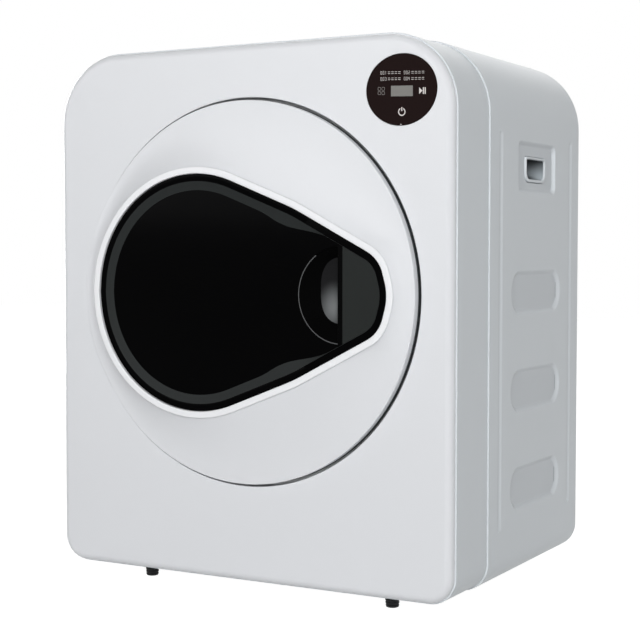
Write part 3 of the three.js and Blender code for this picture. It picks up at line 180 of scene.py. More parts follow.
def cabinet_outline(inset):
    low, high = cabinet_low + inset, cabinet_high - inset
    width = 2 * (cabinet_half - inset)
    return rounded_box(0, (low + high) / 2, width, high - low, top_corner - inset, bottom_corner - inset)


def offset(points, distance):
    """The outline moved outwards by a distance; inwards where it is negative."""
    along = np.roll(points, -1, axis=0) - np.roll(points, 1, axis=0)
    normal = np.stack([along[:, 1], -along[:, 0]], axis=1)
    normal /= np.maximum(np.linalg.norm(normal, axis=1, keepdims=True), 1e-12)
    return points + normal * distance


# Where a point of an outline goes: sections across Y lie in X and Z, across X in Y and Z
def lifted(points, at, axis="y"):
    level = np.full(len(points), at)
    if axis == "y":
        return np.stack([points[:, 0], level, points[:, 1]], axis=1)
    if axis == "x":
        return np.stack([level, points[:, 0], points[:, 1]], axis=1)
    return np.stack([points[:, 0], points[:, 1], level], axis=1)


class Skin:
    """The surface of one piece, made of patches that are welded at the end."""

    def __init__(self, axis="y"):
        self.axis = axis
        self.points = []
        self.faces = []

    def patch(self, points, faces):
        start = len(self.points)
        self.points.extend(tuple(map(float, p)) for p in points)
        self.faces.extend([start + i for i in face] for face in faces)

    def loops(self, rows, hoop=False):
        """Strips between closed loops of points in space, each with the same number of points."""
        count = len(rows[0])
        faces = []
        bands = len(rows) if hoop else len(rows) - 1
        for s in range(bands):
            here, there = s * count, ((s + 1) % len(rows)) * count
            for i in range(count):
                j = (i + 1) % count
                faces.append([here + i, here + j, there + j, there + i])
        self.patch(np.concatenate(rows), faces)

    def rings(self, sections, hoop=False):
        """Strips between flat rings; each section is (outline, level)."""
        self.loops([lifted(outline, at, self.axis) for outline, at in sections], hoop)

    def cap(self, outline, at):
        self.patch(lifted(outline, at, self.axis), [list(range(len(outline)))])

    def flat(self, outline, holes, at):
        """A flat face with holes."""
        loops = [outline, *holes]
        points = np.concatenate(loops)
        borders = []
        start = 0
        for loop in loops:
            borders.append(list(range(start, start + len(loop))))
            start += len(loop)
        inside_with_holes = 2
        found = delaunay_2d_cdt([Vector(p) for p in points], [], borders, inside_with_holes, 1e-9)
        flat_points = np.array([tuple(p) for p in found[0]])
        self.patch(lifted(flat_points, at, self.axis), [list(face) for face in found[2]])

    def mesh(self, name):
        mesh = bpy.data.meshes.new(name)
        mesh.from_pydata(self.points, [], self.faces)
        work = bmesh.new()
        work.from_mesh(mesh)
        bmesh.ops.remove_doubles(work, verts=work.verts, dist=2e-6)
        bmesh.ops.dissolve_degenerate(work, edges=work.edges, dist=1e-7)
        bmesh.ops.recalc_face_normals(work, faces=work.faces)
        work.to_mesh(mesh)
        work.free()
        return mesh


def shaded(piece, sharp=32):
    """Smooth shading with crisp edges; flat faces stay flat beside their fillets."""
    piece.data.shade_smooth()
    piece.data.set_sharp_from_angle(angle=math.radians(sharp))
    weighted = piece.modifiers.new("weighted", "WEIGHTED_NORMAL")
    weighted.keep_sharp = True
    weighted.weight = 80
    return piece


def piece_of(mesh, name, material, at=at_face, body="root", replaces=(), sharp=32):
    mesh.transform(Matrix.Translation(at))
    mesh.materials.clear()
    mesh.materials.append(material)
    piece = bpy.data.objects.new(name, mesh)
    bpy.context.scene.collection.objects.link(piece)
    shaded(piece, sharp)
    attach(piece, body)
    if replaces:
        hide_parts(*replaces)
    return piece


def cut(mesh, cutter):
    """The mesh with a cutter's solid taken away."""
    solid = bpy.data.objects.new("solid", mesh)
    tool = bpy.data.objects.new("tool", cutter)
    for part in (solid, tool):
        bpy.context.scene.collection.objects.link(part)
    boolean = solid.modifiers.new("cut", "BOOLEAN")
    boolean.operation = "DIFFERENCE"
    boolean.object = tool
    boolean.solver = "EXACT"
    bpy.context.view_layer.update()
    graph = bpy.context.evaluated_depsgraph_get()
    result = bpy.data.meshes.new_from_object(solid.evaluated_get(graph))
    for part in (solid, tool):
        bpy.data.objects.remove(part)
    return result


def prism(outline, start, end, bevel=0.0, axis="y", name="prism"):
    """A plate of one outline with rounded rims."""
    skin = Skin(axis)
    sections = []
    if bevel:
        for i in range(edge_steps + 1):
            angle = i / edge_steps * quarter_turn
            sections.append(
                (offset(outline, -bevel * (1 - math.sin(angle))), start + bevel * (1 - math.cos(angle))))
        for i in range(edge_steps, -1, -1):
            angle = i / edge_steps * quarter_turn
            sections.append(
                (offset(outline, -bevel * (1 - math.sin(angle))), end - bevel * (1 - math.cos(angle))))
    else:
        sections = [(outline, start), (outline, end)]
    skin.rings(sections)
    skin.cap(*sections[0])
    skin.cap(*sections[-1])
    return skin.mesh(name)


def rounded_profile(profile, radius, steps=edge_steps, closed=True):
    """A closed profile whose corners are arcs."""
    result = []
    count = len(profile)
    points = [Vector(p) for p in profile]
    for i, point in enumerate(points):
        if not closed and i in (0, count - 1):
            result.append(tuple(point))
            continue
        back = points[i - 1] - point
        ahead = points[(i + 1) % count] - point
        half = back.angle(ahead) / 2
        if abs(half - quarter_turn) < 0.02:
            result.append(tuple(point))
            continue
        reach = min(radius / math.tan(half), back.length * 0.45, ahead.length * 0.45)
        bend = reach * math.tan(half)
        toward = (back.normalized() + ahead.normalized()).normalized()
        centre = point + toward * (bend / math.sin(half))
        first = point + back.normalized() * reach - centre
        last = point + ahead.normalized() * reach - centre
        for s in range(steps + 1):
            share = s / steps
            spoke = first.normalized().slerp(last.normalized(), share) * bend
            result.append(tuple(centre + spoke))
    return result


def lathe(profile, steps=round_steps, round_off=0.0, closed=True, axis="y", name="lathe"):
    """A body of revolution about the axis through the origin, from (radius, place along it)."""
    points = rounded_profile(profile, round_off, closed=closed) if round_off else profile
    skin = Skin(axis)
    angles = np.arange(steps) / steps * whole_turn
    spokes = np.stack([np.cos(angles), np.sin(angles)], axis=1)
    sections = [(spokes * max(radius, 0.0), depth) for radius, depth in points]
    skin.rings(sections, hoop=closed)
    return skin.mesh(name)


# Materials
def node_material(name):
    material = bpy.data.materials.new(name)
    material.use_nodes = True
    nodes = material.node_tree.nodes
    return material, nodes, material.node_tree.links, nodes["Principled BSDF"]


def linear(color):
    return tuple(c / 12.92 if c <= 0.04045 else ((c + 0.055) / 1.055) ** 2.4 for c in color)


def mixed_color(nodes, links, factor, low, high):
    mix = nodes.new("ShaderNodeMix")
    mix.data_type = "RGBA"
    mix.inputs["A"].default_value = (*linear(low), 1)
    mix.inputs["B"].default_value = (*linear(high), 1)
    links.new(factor, mix.inputs["Factor"])
    return mix.outputs["Result"]


def noise(nodes, links, scale, detail=3.0, stretch=None):
    place = nodes.new("ShaderNodeTexCoord")
    texture = nodes.new("ShaderNodeTexNoise")
    texture.inputs["Scale"].default_value = scale
    texture.inputs["Detail"].default_value = detail
    if stretch:
        mapping = nodes.new("ShaderNodeMapping")
        mapping.inputs["Scale"].default_value = stretch
        links.new(place.outputs["Object"], mapping.inputs["Vector"])
        links.new(mapping.outputs["Vector"], texture.inputs["Vector"])
    else:
        links.new(place.outputs["Object"], texture.inputs["Vector"])
    return texture.outputs["Fac"]


def ranged(nodes, links, value, low, high):
    span = nodes.new("ShaderNodeMapRange")
    span.inputs["From Min"].default_value = 0.3
    span.inputs["From Max"].default_value = 0.7
    span.inputs["To Min"].default_value = low
    span.inputs["To Max"].default_value = high
    links.new(value, span.inputs["Value"])
    return span.outputs["Result"]


def bumped(nodes, links, shader, height, strength, distance):
    bump = nodes.new("ShaderNodeBump")
    bump.inputs["Strength"].default_value = strength
    bump.inputs["Distance"].default_value = distance
    links.new(height, bump.inputs["Height"])
    links.new(bump.outputs["Normal"], shader.inputs["Normal"])


def moulded(name, color, rough, spread=0.012, grain=900.0, grain_strength=0.05, specular=0.5, uneven=0.1):
    """Moulded plastic: a faint drift of tone, uneven gloss and a fine grain."""
    material, nodes, links, shader = node_material(name)
    drift = noise(nodes, links, 9.0)
    low = tuple(max(c - spread, 0) for c in color)
    high = tuple(min(c + spread, 1) for c in color)
    links.new(mixed_color(nodes, links, drift, low, high), shader.inputs["Base Color"])
    gloss = ranged(nodes, links, noise(nodes, links, 40.0), rough * (1 - uneven), rough * (1 + uneven))
    links.new(gloss, shader.inputs["Roughness"])
    if grain_strength:
        bumped(nodes, links, shader, noise(nodes, links, grain, 2.0), grain_strength, 0.05 * mm)
    shader.inputs["Specular IOR Level"].default_value = specular
    return material


def metal(name, color, rough, stretch, spread=0.03, scale=120.0, strength=0.12):
    """Drawn or brushed metal: its lines run where the stretch is small."""
    material, nodes, links, shader = node_material(name)
    lines = noise(nodes, links, scale, 4.0, stretch)
    low = tuple(max(c - spread, 0) for c in color)
    high = tuple(min(c + spread, 1) for c in color)
    links.new(mixed_color(nodes, links, lines, low, high), shader.inputs["Base Color"])
    links.new(ranged(nodes, links, lines, rough * 0.75, rough * 1.3), shader.inputs["Roughness"])
    bumped(nodes, links, shader, lines, strength, 0.05 * mm)
    shader.inputs["Metallic"].default_value = 1.0
    return material


white_front = moulded(
    "white_front", (0.876, 0.883, 0.896), 0.38, spread=0.002, grain_strength=0.0, uneven=0.02)
white_body = moulded("white_body", (0.838, 0.858, 0.872), 0.45, spread=0.003, grain_strength=0.0, uneven=0.02)


def paint_light_where(material, limits, tone, blend="MIX"):
    """Paints light or shade into a plastic's colour where all the limits hold. A limit is an axis, a start and
    an end.
    """
    nodes, links = material.node_tree.nodes, material.node_tree.links
    base = nodes["Principled BSDF"].inputs["Base Color"]
    place = nodes.new("ShaderNodeTexCoord")
    split = nodes.new("ShaderNodeSeparateXYZ")
    links.new(place.outputs["Object"], split.inputs[0])
    aside = nodes.new("ShaderNodeMath")
    aside.operation = "ABSOLUTE"
    links.new(split.outputs["X"], aside.inputs[0])
    sources = {"aside": aside.outputs[0], "Y": split.outputs["Y"], "Z": split.outputs["Z"]}
    amount = None
    for axis, start, end in limits:
        step = nodes.new("ShaderNodeMapRange")
        step.inputs["From Min"].default_value = start
        step.inputs["From Max"].default_value = end
        links.new(sources[axis], step.inputs["Value"])
        if amount is None:
            amount = step.outputs["Result"]
        else:
            both = nodes.new("ShaderNodeMath")
            both.operation = "MULTIPLY"
            links.new(amount, both.inputs[0])
            links.new(step.outputs["Result"], both.inputs[1])
            amount = both.outputs[0]
    tint = nodes.new("ShaderNodeMix")
    tint.data_type = "RGBA"
    tint.blend_type = blend
    links.new(amount, tint.inputs["Factor"])
    links.new(base.links[0].from_socket, tint.inputs[6])
    tint.inputs[7].default_value = (*tone, 1)
    links.new(tint.outputs[2], base)
    return material


# Painted shade: the cabinet's colour darkens in the pressed fields of its sides, more so deeper in, where
# shade falls in the recesses
flat_low, flat_high = cabinet_low + bottom_corner, cabinet_high - top_corner
painted_shade_limits = (
    ("aside", cabinet_half - 0.1 * mm, cabinet_half - emboss_depth),
    ("Z", flat_low, flat_low + 2 * mm),
    ("Z", flat_high, flat_high - 2 * mm),
)
cabinet_white_recess_shade = moulded(
    "cabinet_white_recess_shade", (0.838, 0.858, 0.872), 0.45, spread=0.003, grain_strength=0.0, uneven=0.02)
paint_light_where(cabinet_white_recess_shade, painted_shade_limits, (0.88, 0.88, 0.885), "MULTIPLY")
# Painted highlight: the front of the bead round the window is lightened
ring_white_bead_highlight = moulded("ring_white_bead_highlight", (0.876, 0.883, 0.896), 0.38, spread=0.002, grain_strength=0.0, uneven=0.02)
paint_light_where(ring_white_bead_highlight, [("Y", door_low.y + 1.6 * mm, door_low.y + 0.4 * mm)], (0.87, 0.88, 0.9))
gloss_black = moulded(
    "gloss_black", (0.012, 0.012, 0.014), 0.1, spread=0.004, grain_strength=0.0, specular=0.015)
band_grey = moulded("band_grey", (0.165, 0.175, 0.175), 0.35, spread=0.008, specular=0.04)
dark_grey = moulded("dark_grey", (0.15, 0.16, 0.157), 0.35, spread=0.008, specular=0.04)


def dished(name, dark, light, centre, reach):
    """Satin finish with painted light: the colour is lightest round one spot and falls to dark away from it.
    """
    material, nodes, links, shader = node_material(name)
    place = nodes.new("ShaderNodeTexCoord")
    mapping = nodes.new("ShaderNodeMapping")
    mapping.vector_type = "TEXTURE"
    mapping.inputs["Location"].default_value = centre
    mapping.inputs["Scale"].default_value = reach
    links.new(place.outputs["Object"], mapping.inputs["Vector"])
    away = nodes.new("ShaderNodeVectorMath")
    away.operation = "LENGTH"
    links.new(mapping.outputs["Vector"], away.inputs[0])
    fall = nodes.new("ShaderNodeMapRange")
    fall.interpolation_type = "SMOOTHSTEP"
    fall.inputs["To Min"].default_value = 1.0
    fall.inputs["To Max"].default_value = 0.0
    links.new(away.outputs["Value"], fall.inputs["Value"])
    links.new(mixed_color(nodes, links, fall.outputs["Result"], dark, light), shader.inputs["Base Color"])
    shader.inputs["Roughness"].default_value = 0.45
    shader.inputs["Specular IOR Level"].default_value = 0.06
    return material


# Painted light on the scoop's floor: a pool of light round one spot, with dark round it
scoop_painted_light_spot = (door_x + 109 * mm, 0.0, door_z - 13 * mm)
scoop_floor_painted_light = dished(
    "scoop_floor_painted_light", (0.09, 0.09, 0.095), (0.45, 0.46, 0.465), scoop_painted_light_spot, (19 * mm, 1000.0, 30 * mm))
cup_black = moulded("cup_black", (0.014, 0.014, 0.015), 0.3, spread=0.004, specular=0.012)
grip_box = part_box("hand_grip_right")
# Painted shade in the grip's pocket: dark towards its top and front, lightest round one spot lower down and
# further back
pocket_painted_light_spot = (
    0.0, (grip_box[0].y + grip_box[1].y) / 2 + 30 * mm, (grip_box[0].z + grip_box[1].z) / 2 - 26 * mm)
pocket_painted_shade = dished(
    "pocket_painted_shade", (0.02, 0.02, 0.022), (0.8, 0.84, 0.865), pocket_painted_light_spot, (1000.0, 58 * mm, 44 * mm))
# Painted shade for the door's side wall in the gap
gap_shade_grey = moulded("gap_shade_grey", (0.24, 0.25, 0.26), 0.6, spread=0.01, specular=0.2)
# Painted highlight for the scoop's lip
rim_painted_highlight = moulded("rim_painted_highlight", (0.3, 0.305, 0.31), 0.35, spread=0.01, specular=0.2)
panel_black = moulded(
    "panel_black", (0.1, 0.045, 0.04), 0.08, spread=0.006, grain_strength=0.0, specular=0.02)
display_grey = moulded("display_grey", (0.46, 0.455, 0.44), 0.3, spread=0.012, specular=0.2)
print_white = moulded("print_white", (0.86, 0.84, 0.83), 0.5, specular=0.2)
print_grey = moulded("print_grey", (0.52, 0.5, 0.49), 0.5, specular=0.2)
light_plastic = moulded("light_plastic", (0.8, 0.808, 0.815), 0.45, spread=0.008)
dark_plastic = moulded("dark_plastic", (0.19, 0.2, 0.215), 0.5, spread=0.015)
rubber = moulded(
    "rubber", (0.075, 0.078, 0.084), 0.7, spread=0.012, grain=500.0, grain_strength=0.15, specular=0.3)
felt = moulded("felt", (0.55, 0.54, 0.51), 0.95, spread=0.05, grain=1600.0, grain_strength=0.7, specular=0.1)
board_green = moulded("board_green", (0.12, 0.3, 0.2), 0.4, spread=0.03, grain=300.0)
steel = metal("steel", (0.75, 0.755, 0.765), 0.3, (1.0, 0.04, 1.0))
zinc_steel = metal(
    "zinc_steel", (0.66, 0.675, 0.69), 0.42, (1.0, 1.0, 0.35), spread=0.05, scale=45.0, strength=0.05)
aluminium = metal("aluminium", (0.7, 0.705, 0.715), 0.38, (1.0, 0.1, 1.0))
bronze = metal("bronze", (0.58, 0.43, 0.28), 0.45, (1.0, 1.0, 1.0))


# Roundings and easing
def easing(steps=edge_steps, span=quarter_turn):
    """Points of a rounding in shares of its radius: what is left across, and what is gone along."""
    angles = [i / steps * span for i in range(steps + 1)]
    return [(1 - math.sin(angle), 1 - math.cos(angle)) for angle in angles]


def smooth(share):
    return share * share * (3 - 2 * share)


# Cabinet shell: top, corners and floor in one sheet, with pressed fields on each side
pad_bulge_loss = 6 * mm
plate_corner_loss = 3 * mm
least_corner = 1.2 * mm
groove_floor = 0.2 * mm
hair = 0.01 * mm


def pad_outline(height_middle, share):
    """Straight above and below, with an arc at each end that meets them at a slight corner."""
    half_length = pad_length / 2 - pad_slopes[0] * share
    half_height = pad_height / 2 - pad_slopes[1] * share
    bulge = pad_bulge - pad_bulge_loss * share
    radius = (bulge ** 2 + half_height ** 2) / (2 * bulge)
    spread = math.asin(min(half_height / radius, 1.0))
    front_x = side_middle - half_length + radius
    back_x = side_middle + half_length - radius
    front = arc(front_x, height_middle, radius, half_turn - spread, half_turn + spread, 2 * outline_steps)
    back = arc(back_x, height_middle, radius, -spread, spread, 2 * outline_steps)
    return np.concatenate([back, front])


def plate_outline(share):
    width = grip_plate_width - 2 * plate_slopes[0] * share
    height = grip_plate_height - 2 * plate_slopes[1] * share
    return rounded_box(side_middle, grip_height, width, height, grip_plate_corner - plate_corner_loss * share)


def collar_outline(inset):
    width = grip_collar_width - 2 * inset
    height = grip_collar_height - 2 * inset
    above = max(grip_collar_top - inset, least_corner)
    below = max(grip_collar_bottom - inset * 0.6, least_corner)
    return rounded_box(side_middle + grip_shift, grip_height - grip_drop, width, height, above, below)


def groove_outline(middle, share):
    """The flank towards the front is the steeper one."""
    width = (groove_front_flank + groove_back_flank) * (1 - share) + groove_floor
    height = groove_high - groove_low - 2 * groove_front_flank * share
    drift = (groove_front_flank - groove_back_flank) / 2 * share
    return rounded_box(middle + drift, (groove_low + groove_high) / 2, width, height, width / 2 - hair)


def slope_shares(steps=8):
    """A border that starts and ends level: (share of the width, share of the depth)."""
    return [(i / steps, smooth(i / steps)) for i in range(steps + 1)]


def side_flat(skin, side, inset, front, back):
    """The flat of one side, pressed in; the sheet has one of these on each of its two faces."""
    x = side * (cabinet_half - inset)
    low, high = cabinet_low + bottom_corner, cabinet_high - top_corner
    border = np.array([[front, low], [back, low], [back, high], [front, high]])
    fields = []
    for middle in (groove_front, groove_back):
        fields.append((lambda share, middle=middle: groove_outline(middle, share), groove_depth, []))
    for i in range(pad_count):
        fields.append((lambda share, i=i: pad_outline(pad_low + i * pad_pitch, share), emboss_depth, []))
    hole = collar_outline(-gap)
    fields.append((plate_outline, plate_depth, [hole]))
    for outline, depth, holes in fields:
        skin.rings([(outline(w), x - side * depth * d) for w, d in slope_shares()])
        skin.flat(outline(1.0), holes, x - side * depth)
    skin.flat(border, [outline(0.0) for outline, depth, holes in fields], x)


def cabinet_mesh():
    skin = Skin()
    rims = [(ledge_round * across, ledge_round * along) for across, along in easing()]
    front = [(cabinet_outline(inset), shell_front + depth) for inset, depth in rims]
    back = [(cabinet_outline(inset), shell_back - depth) for inset, depth in rims]
    skin.rings(front)
    skin.rings(back)
    skin.rings([front[0], (cabinet_outline(cabinet_wall), shell_front)])
    skin.rings([back[0], (cabinet_outline(cabinet_wall), shell_back)])
    # The long sides of these strips are the flats, which come pressed
    low, high = cabinet_low + bottom_corner, cabinet_high - top_corner
    for inset, ease in ((0.0, ledge_round), (cabinet_wall, 0.0)):
        outline = cabinet_outline(inset)
        count = len(outline)
        near, far = shell_front + ease, shell_back - ease
        faces = []
        for i in range(count):
            j = (i + 1) % count
            across, up = np.abs(outline[i] - outline[j])
            if across > 1e-7 or up < (high - low) / 2:
                faces.append([i, j, count + j, count + i])
        skin.patch(np.concatenate([lifted(outline, near), lifted(outline, far)]), faces)
        for side in (-1, 1):
            flat = Skin("x")
            side_flat(flat, side, inset, near, far)
            skin.patch(flat.points, flat.faces)
    hole = collar_outline(-gap)
    for side in (-1, 1):
        rim = Skin("x")
        pressed = cabinet_half - plate_depth
        rim.rings([(hole, side * pressed), (hole, side * (pressed - cabinet_wall))])
        skin.patch(rim.points, rim.faces)
    return skin.mesh("cabinet")


piece_of(cabinet_mesh(), "cabinet", cabinet_white_recess_shade, replaces=("cabinet_shell",), sharp=40)


# Front frame: a sleeve with a bright rounded ledge at each end
def frame_mesh():
    skin = Skin()
    rims = [(frame_inset + ledge_round * across, ledge_round * along) for across, along in easing()]
    front = [(cabinet_outline(inset), frame_front + depth) for inset, depth in rims]
    back = [(cabinet_outline(inset), sleeve_back - depth) for inset, depth in reversed(rims)]
    inside = frame_inset + cabinet_wall
    inner = [(cabinet_outline(inside), sleeve_back), (cabinet_outline(inside), frame_front)]
    skin.rings([*front, *back, *inner], hoop=True)
    return skin.mesh("frame")


piece_of(frame_mesh(), "frame_sleeve", white_body, replaces=("front_frame",))

# Touch panel sizes
panel_low, panel_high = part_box("panel_lens")
panel_x = (panel_low.x + panel_high.x) / 2
panel_z = (panel_low.z + panel_high.z) / 2
panel_half_x = (panel_high.x - panel_low.x) / 2
panel_half_z = (panel_high.z - panel_low.z) / 2
panel_front = panel_low.y - face_y
panel_back = panel_high.y - face_y
panel_round = 0.5 * mm


# Front cover: rounded face with the door's recess and the panel's pocket
def door_circle(radius):
    return circle(radius, x=door_x, y=door_z)


def pocket_ellipse(grow):
    return ellipse(panel_x, panel_z, panel_half_x + grow, panel_half_z + grow)


pocket_lip = 0.4 * mm


def cover_mesh():
    inner = cover_inset + cover_wall
    face = cabinet_outline(cover_inset + cover_edge)
    sections = []
    for across, along in easing(2 * edge_steps):
        sections.append((cabinet_outline(cover_inset + cover_edge * across), cover_edge * along))
    for inset, depth in ((cover_inset, cover_back), (inner, cover_back), (inner, cover_edge)):
        sections.append((cabinet_outline(inset), depth))
    sections.append((face, cover_wall))
    skin = Skin()
    skin.rings(sections)
    tube = [(opening_radius + opening_lip * across, opening_lip * along) for across, along in easing()]
    tube.append((opening_radius, recess_back))
    tube.append((opening_radius + cover_wall, recess_back))
    tube.append((opening_radius + cover_wall, cover_wall))
    skin.rings([(door_circle(radius), depth) for radius, depth in tube])
    walls = [
        (gap + pocket_lip, 0.0), (gap + pocket_lip * 0.3, pocket_lip * 0.3), (gap, pocket_lip),
        (gap, cover_wall)]
    skin.rings([(pocket_ellipse(grow), depth) for grow, depth in walls])
    skin.flat(face, [door_circle(tube[0][0]), pocket_ellipse(gap + pocket_lip)], 0.0)
    skin.flat(face, [door_circle(tube[-1][0]), pocket_ellipse(gap)], cover_wall)
    return skin.mesh("cover")


piece_of(cover_mesh(), "face_cover", white_front, replaces=("front_cover",))


# Hand grips: a collar with a mouth, and a pocket whose floor rises inwards to the front and up
mouth_width = 54.5 * mm
mouth_top = 3.0 * mm
mouth_bottom = 3.6 * mm
mouth_low = grip_height - grip_drop - grip_collar_height / 2 + mouth_bottom
mouth_high = grip_height - grip_drop + grip_collar_height / 2 - mouth_top
mouth_corner = grip_collar_bottom * 0.8
pocket_rise = 12 * mm
pocket_lift = 13 * mm
pocket_narrows = 26 * mm
pocket_widens = 6 * mm
grip_wall = 1.8 * mm


def mouth_outline(grow):
    middle = (mouth_low + mouth_high) / 2
    width, height = mouth_width + 2 * grow, mouth_high - mouth_low + 2 * grow
    return rounded_box(side_middle + grip_shift, middle, width, height, grip_collar_top, mouth_corner)


def pocket_outline(share, grow):
    """The section of the pocket at a share of its depth."""
    left = side_middle + grip_shift - mouth_width / 2 - pocket_widens * share - grow
    right = side_middle + grip_shift + mouth_width / 2 - pocket_narrows * share + grow
    low = mouth_low + pocket_lift * share - grow
    high = mouth_high + pocket_rise * share + grow
    middle_x, middle_z = (left + right) / 2, (low + high) / 2
    return rounded_box(middle_x, middle_z, right - left, high - low, grip_collar_top, mouth_corner)


grip_lip = 1.3 * mm
grip_proud = 2 * mm


def grip_collar_mesh(side):
    pressed = cabinet_half - plate_depth
    outer_x = pressed + grip_proud
    sections = [(collar_outline(gap), side * (pressed - cabinet_wall))]
    for across, along in easing():
        sections.append((collar_outline(gap + grip_lip * along), side * (outer_x - grip_lip * across)))
    for across, along in easing():
        sections.append((mouth_outline(grip_lip * across), side * (outer_x - grip_lip * along)))
    sections.append((mouth_outline(0.0), side * (pressed - cabinet_wall)))
    skin = Skin("x")
    skin.rings(sections, hoop=True)
    return skin.mesh("collar")


def grip_pocket_mesh(side):
    inner_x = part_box("hand_grip_right")[0].x
    start, deep = cabinet_half - plate_depth + grip_proud - 1.6 * grip_lip, inner_x + grip_wall
    steps = 10
    inside = []
    for i in range(steps + 1):
        share = i / steps
        inside.append((pocket_outline(share, -0.1 * mm), side * (start + (deep - start) * share)))
    outside = []
    for share in (0.0, 0.2, 0.4, 0.7, 1.0):
        grow = 0.05 * mm if share == 0.0 else grip_wall
        outside.append((pocket_outline(share, grow), side * (start + (inner_x - start) * share)))
    skin = Skin("x")
    skin.rings(inside)
    skin.rings(outside)
    skin.rings([inside[0], outside[0]])
    skin.cap(*inside[-1])
    skin.cap(*outside[-1])
    return skin.mesh("pocket")


for name, side in (("left", -1), ("right", 1)):
    piece_of(
        grip_collar_mesh(side), f"grip_collar_{name}", white_body,
        replaces=(f"hand_grip_{name}",))
    piece_of(grip_pocket_mesh(side), f"grip_pocket_{name}", pocket_painted_shade, sharp=50)


# Touch panel: a dark oval lens with printed marks and the display's window
def panel_ellipse(inset):
    return ellipse(panel_x, panel_z, panel_half_x - inset, panel_half_z - inset)


def lens_mesh():
    sections = [(panel_ellipse(0.0), panel_back)]
    for across, along in easing():
        sections.append((panel_ellipse(panel_round * along), panel_front + panel_round * across))
    skin = Skin()
    skin.rings(sections)
    skin.cap(*sections[0])
    skin.cap(*sections[-1])
    return skin.mesh("lens")


piece_of(lens_mesh(), "touch_lens", panel_black, replaces=("panel_lens",))

print_thick = 0.05 * mm
print_sunk = 0.02 * mm
stroke = 0.55 * mm


class Print(Skin):
    """Flat marks on the lens."""

    def mark(self, outline, holes=()):
        back, front = panel_front + print_sunk, panel_front - print_thick
        self.flat(outline, list(holes), front)
        self.flat(outline, list(holes), back)
        for loop in (outline, *holes):
            self.rings([(loop, front), (loop, back)])

    def bar(self, start, end, width):
        start, end = np.array(start), np.array(end)
        along = (end - start) / np.linalg.norm(end - start)
        across = np.array([-along[1], along[0]]) * width / 2
        self.mark(np.array([start - across, end - across, end + across, start + across]))


# Strokes of plain numbers in a cell that is 1 wide and 1 high
digit_strokes = {
    "0": [(0, 0, 1, 0), (1, 0, 1, 1), (1, 1, 0, 1), (0, 1, 0, 0)],
    "1": [(0.6, 0, 0.6, 1), (0.6, 1, 0.2, 0.75)],
    "2": [(0, 1, 1, 1), (1, 1, 1, 0.5), (1, 0.5, 0, 0.5), (0, 0.5, 0, 0), (0, 0, 1, 0)],
    "3": [(0, 1, 1, 1), (1, 1, 1, 0), (1, 0, 0, 0), (0.3, 0.5, 1, 0.5)],
    "4": [(0, 1, 0, 0.4), (0, 0.4, 1, 0.4), (0.75, 1, 0.75, 0)],
}


def marks_mesh():
    prints = Print()
    row_height = 3.1 * mm
    digit_width = 1.3 * mm
    digit_pitch = 2.5 * mm
    mark_pitch = 3.85 * mm
    mark_size = 2.6 * mm
    mark_gap = 0.6 * mm
    group_left = 22.9 * mm
    group_pitch = 26.2 * mm
    rows = (555.8 * mm, 549.7 * mm)
    for row, row_z in enumerate(rows):
        for group in range(2):
            x = panel_x - group_left + group * group_pitch
            z = row_z - row_height / 2
            for digit in ("0", "0", str(2 * row + group + 1)):
                for x1, z1, x2, z2 in digit_strokes[digit]:
                    start = (x + x1 * digit_width, z + z1 * row_height)
                    end = (x + x2 * digit_width, z + z2 * row_height)
                    prints.bar(start, end, stroke * 0.5)
                x += digit_pitch
            for i in range(4):
                left = x + mark_gap + i * mark_pitch
                for height in (row_z + mark_size / 3, row_z - mark_size / 3):
                    prints.bar((left, height), (left + mark_size, height), stroke * 0.8)
    # Start and pause
    play_x, play_z, half = panel_x + 23.8 * mm, panel_z - 1.5 * mm, 3.3 * mm
    play_left = play_x - 3.7 * mm
    prints.mark(
        np.array([(play_left, play_z - half), (play_x - 0.1 * mm, play_z), (play_left, play_z + half)]))
    for x in (0.9 * mm, 2.9 * mm):
        prints.bar((play_x + x, play_z - half), (play_x + x, play_z + half), 1.2 * mm)
    # Power
    power_x, power_z, radius = panel_x + 0.9 * mm, panel_z - 22.3 * mm, 4.1 * mm
    opening = math.radians(28)
    start, end = quarter_turn + opening, quarter_turn + whole_turn - opening
    outer = arc(power_x, power_z, radius, start, end, fine_steps)
    inner = arc(power_x, power_z, radius - 1.1 * mm, end, start, fine_steps)
    prints.mark(np.concatenate([outer, inner]))
    prints.bar((power_x, power_z + 0.8 * mm), (power_x, power_z + radius + 0.5 * mm), 1.1 * mm)
    # Light tick at the foot of the lens
    foot_z = panel_z - panel_half_z + panel_round
    tick_half = 0.9 * mm
    prints.mark(
        np.array([(panel_x, foot_z + 1.1 * mm), (panel_x - tick_half, foot_z), (panel_x + tick_half, foot_z)]))
    return prints.mesh("marks")


def menu_mesh():
    """Four small frames."""
    prints = Print()
    menu_x, menu_z = panel_x - 22.2 * mm, panel_z - 1.3 * mm
    for across in (-1, 1):
        for up in (-1, 1):
            x, z = menu_x + across * 2.15 * mm, menu_z + up * 2.15 * mm
            frame_size = 3.4 * mm
            inside = frame_size - 1.4 * stroke
            outer = rounded_box(x, z, frame_size, frame_size, 0.9 * mm, steps=edge_steps)
            inner = rounded_box(x, z, inside, inside, 0.5 * mm, steps=edge_steps)
            prints.mark(outer, [inner])
    return prints.mesh("menu")


def display_mesh():
    prints = Print()
    x, z = panel_x + 0.9 * mm, panel_z - 1.5 * mm
    prints.mark(rounded_box(x, z, 24.3 * mm, 10.6 * mm, 0.3 * mm, steps=edge_steps))
    return prints.mesh("display")


def falling(mesh):
    """The print runs slightly downhill to the right."""
    for vertex in mesh.vertices:
        vertex.co.z -= (vertex.co.x - panel_x) * print_fall
    return mesh


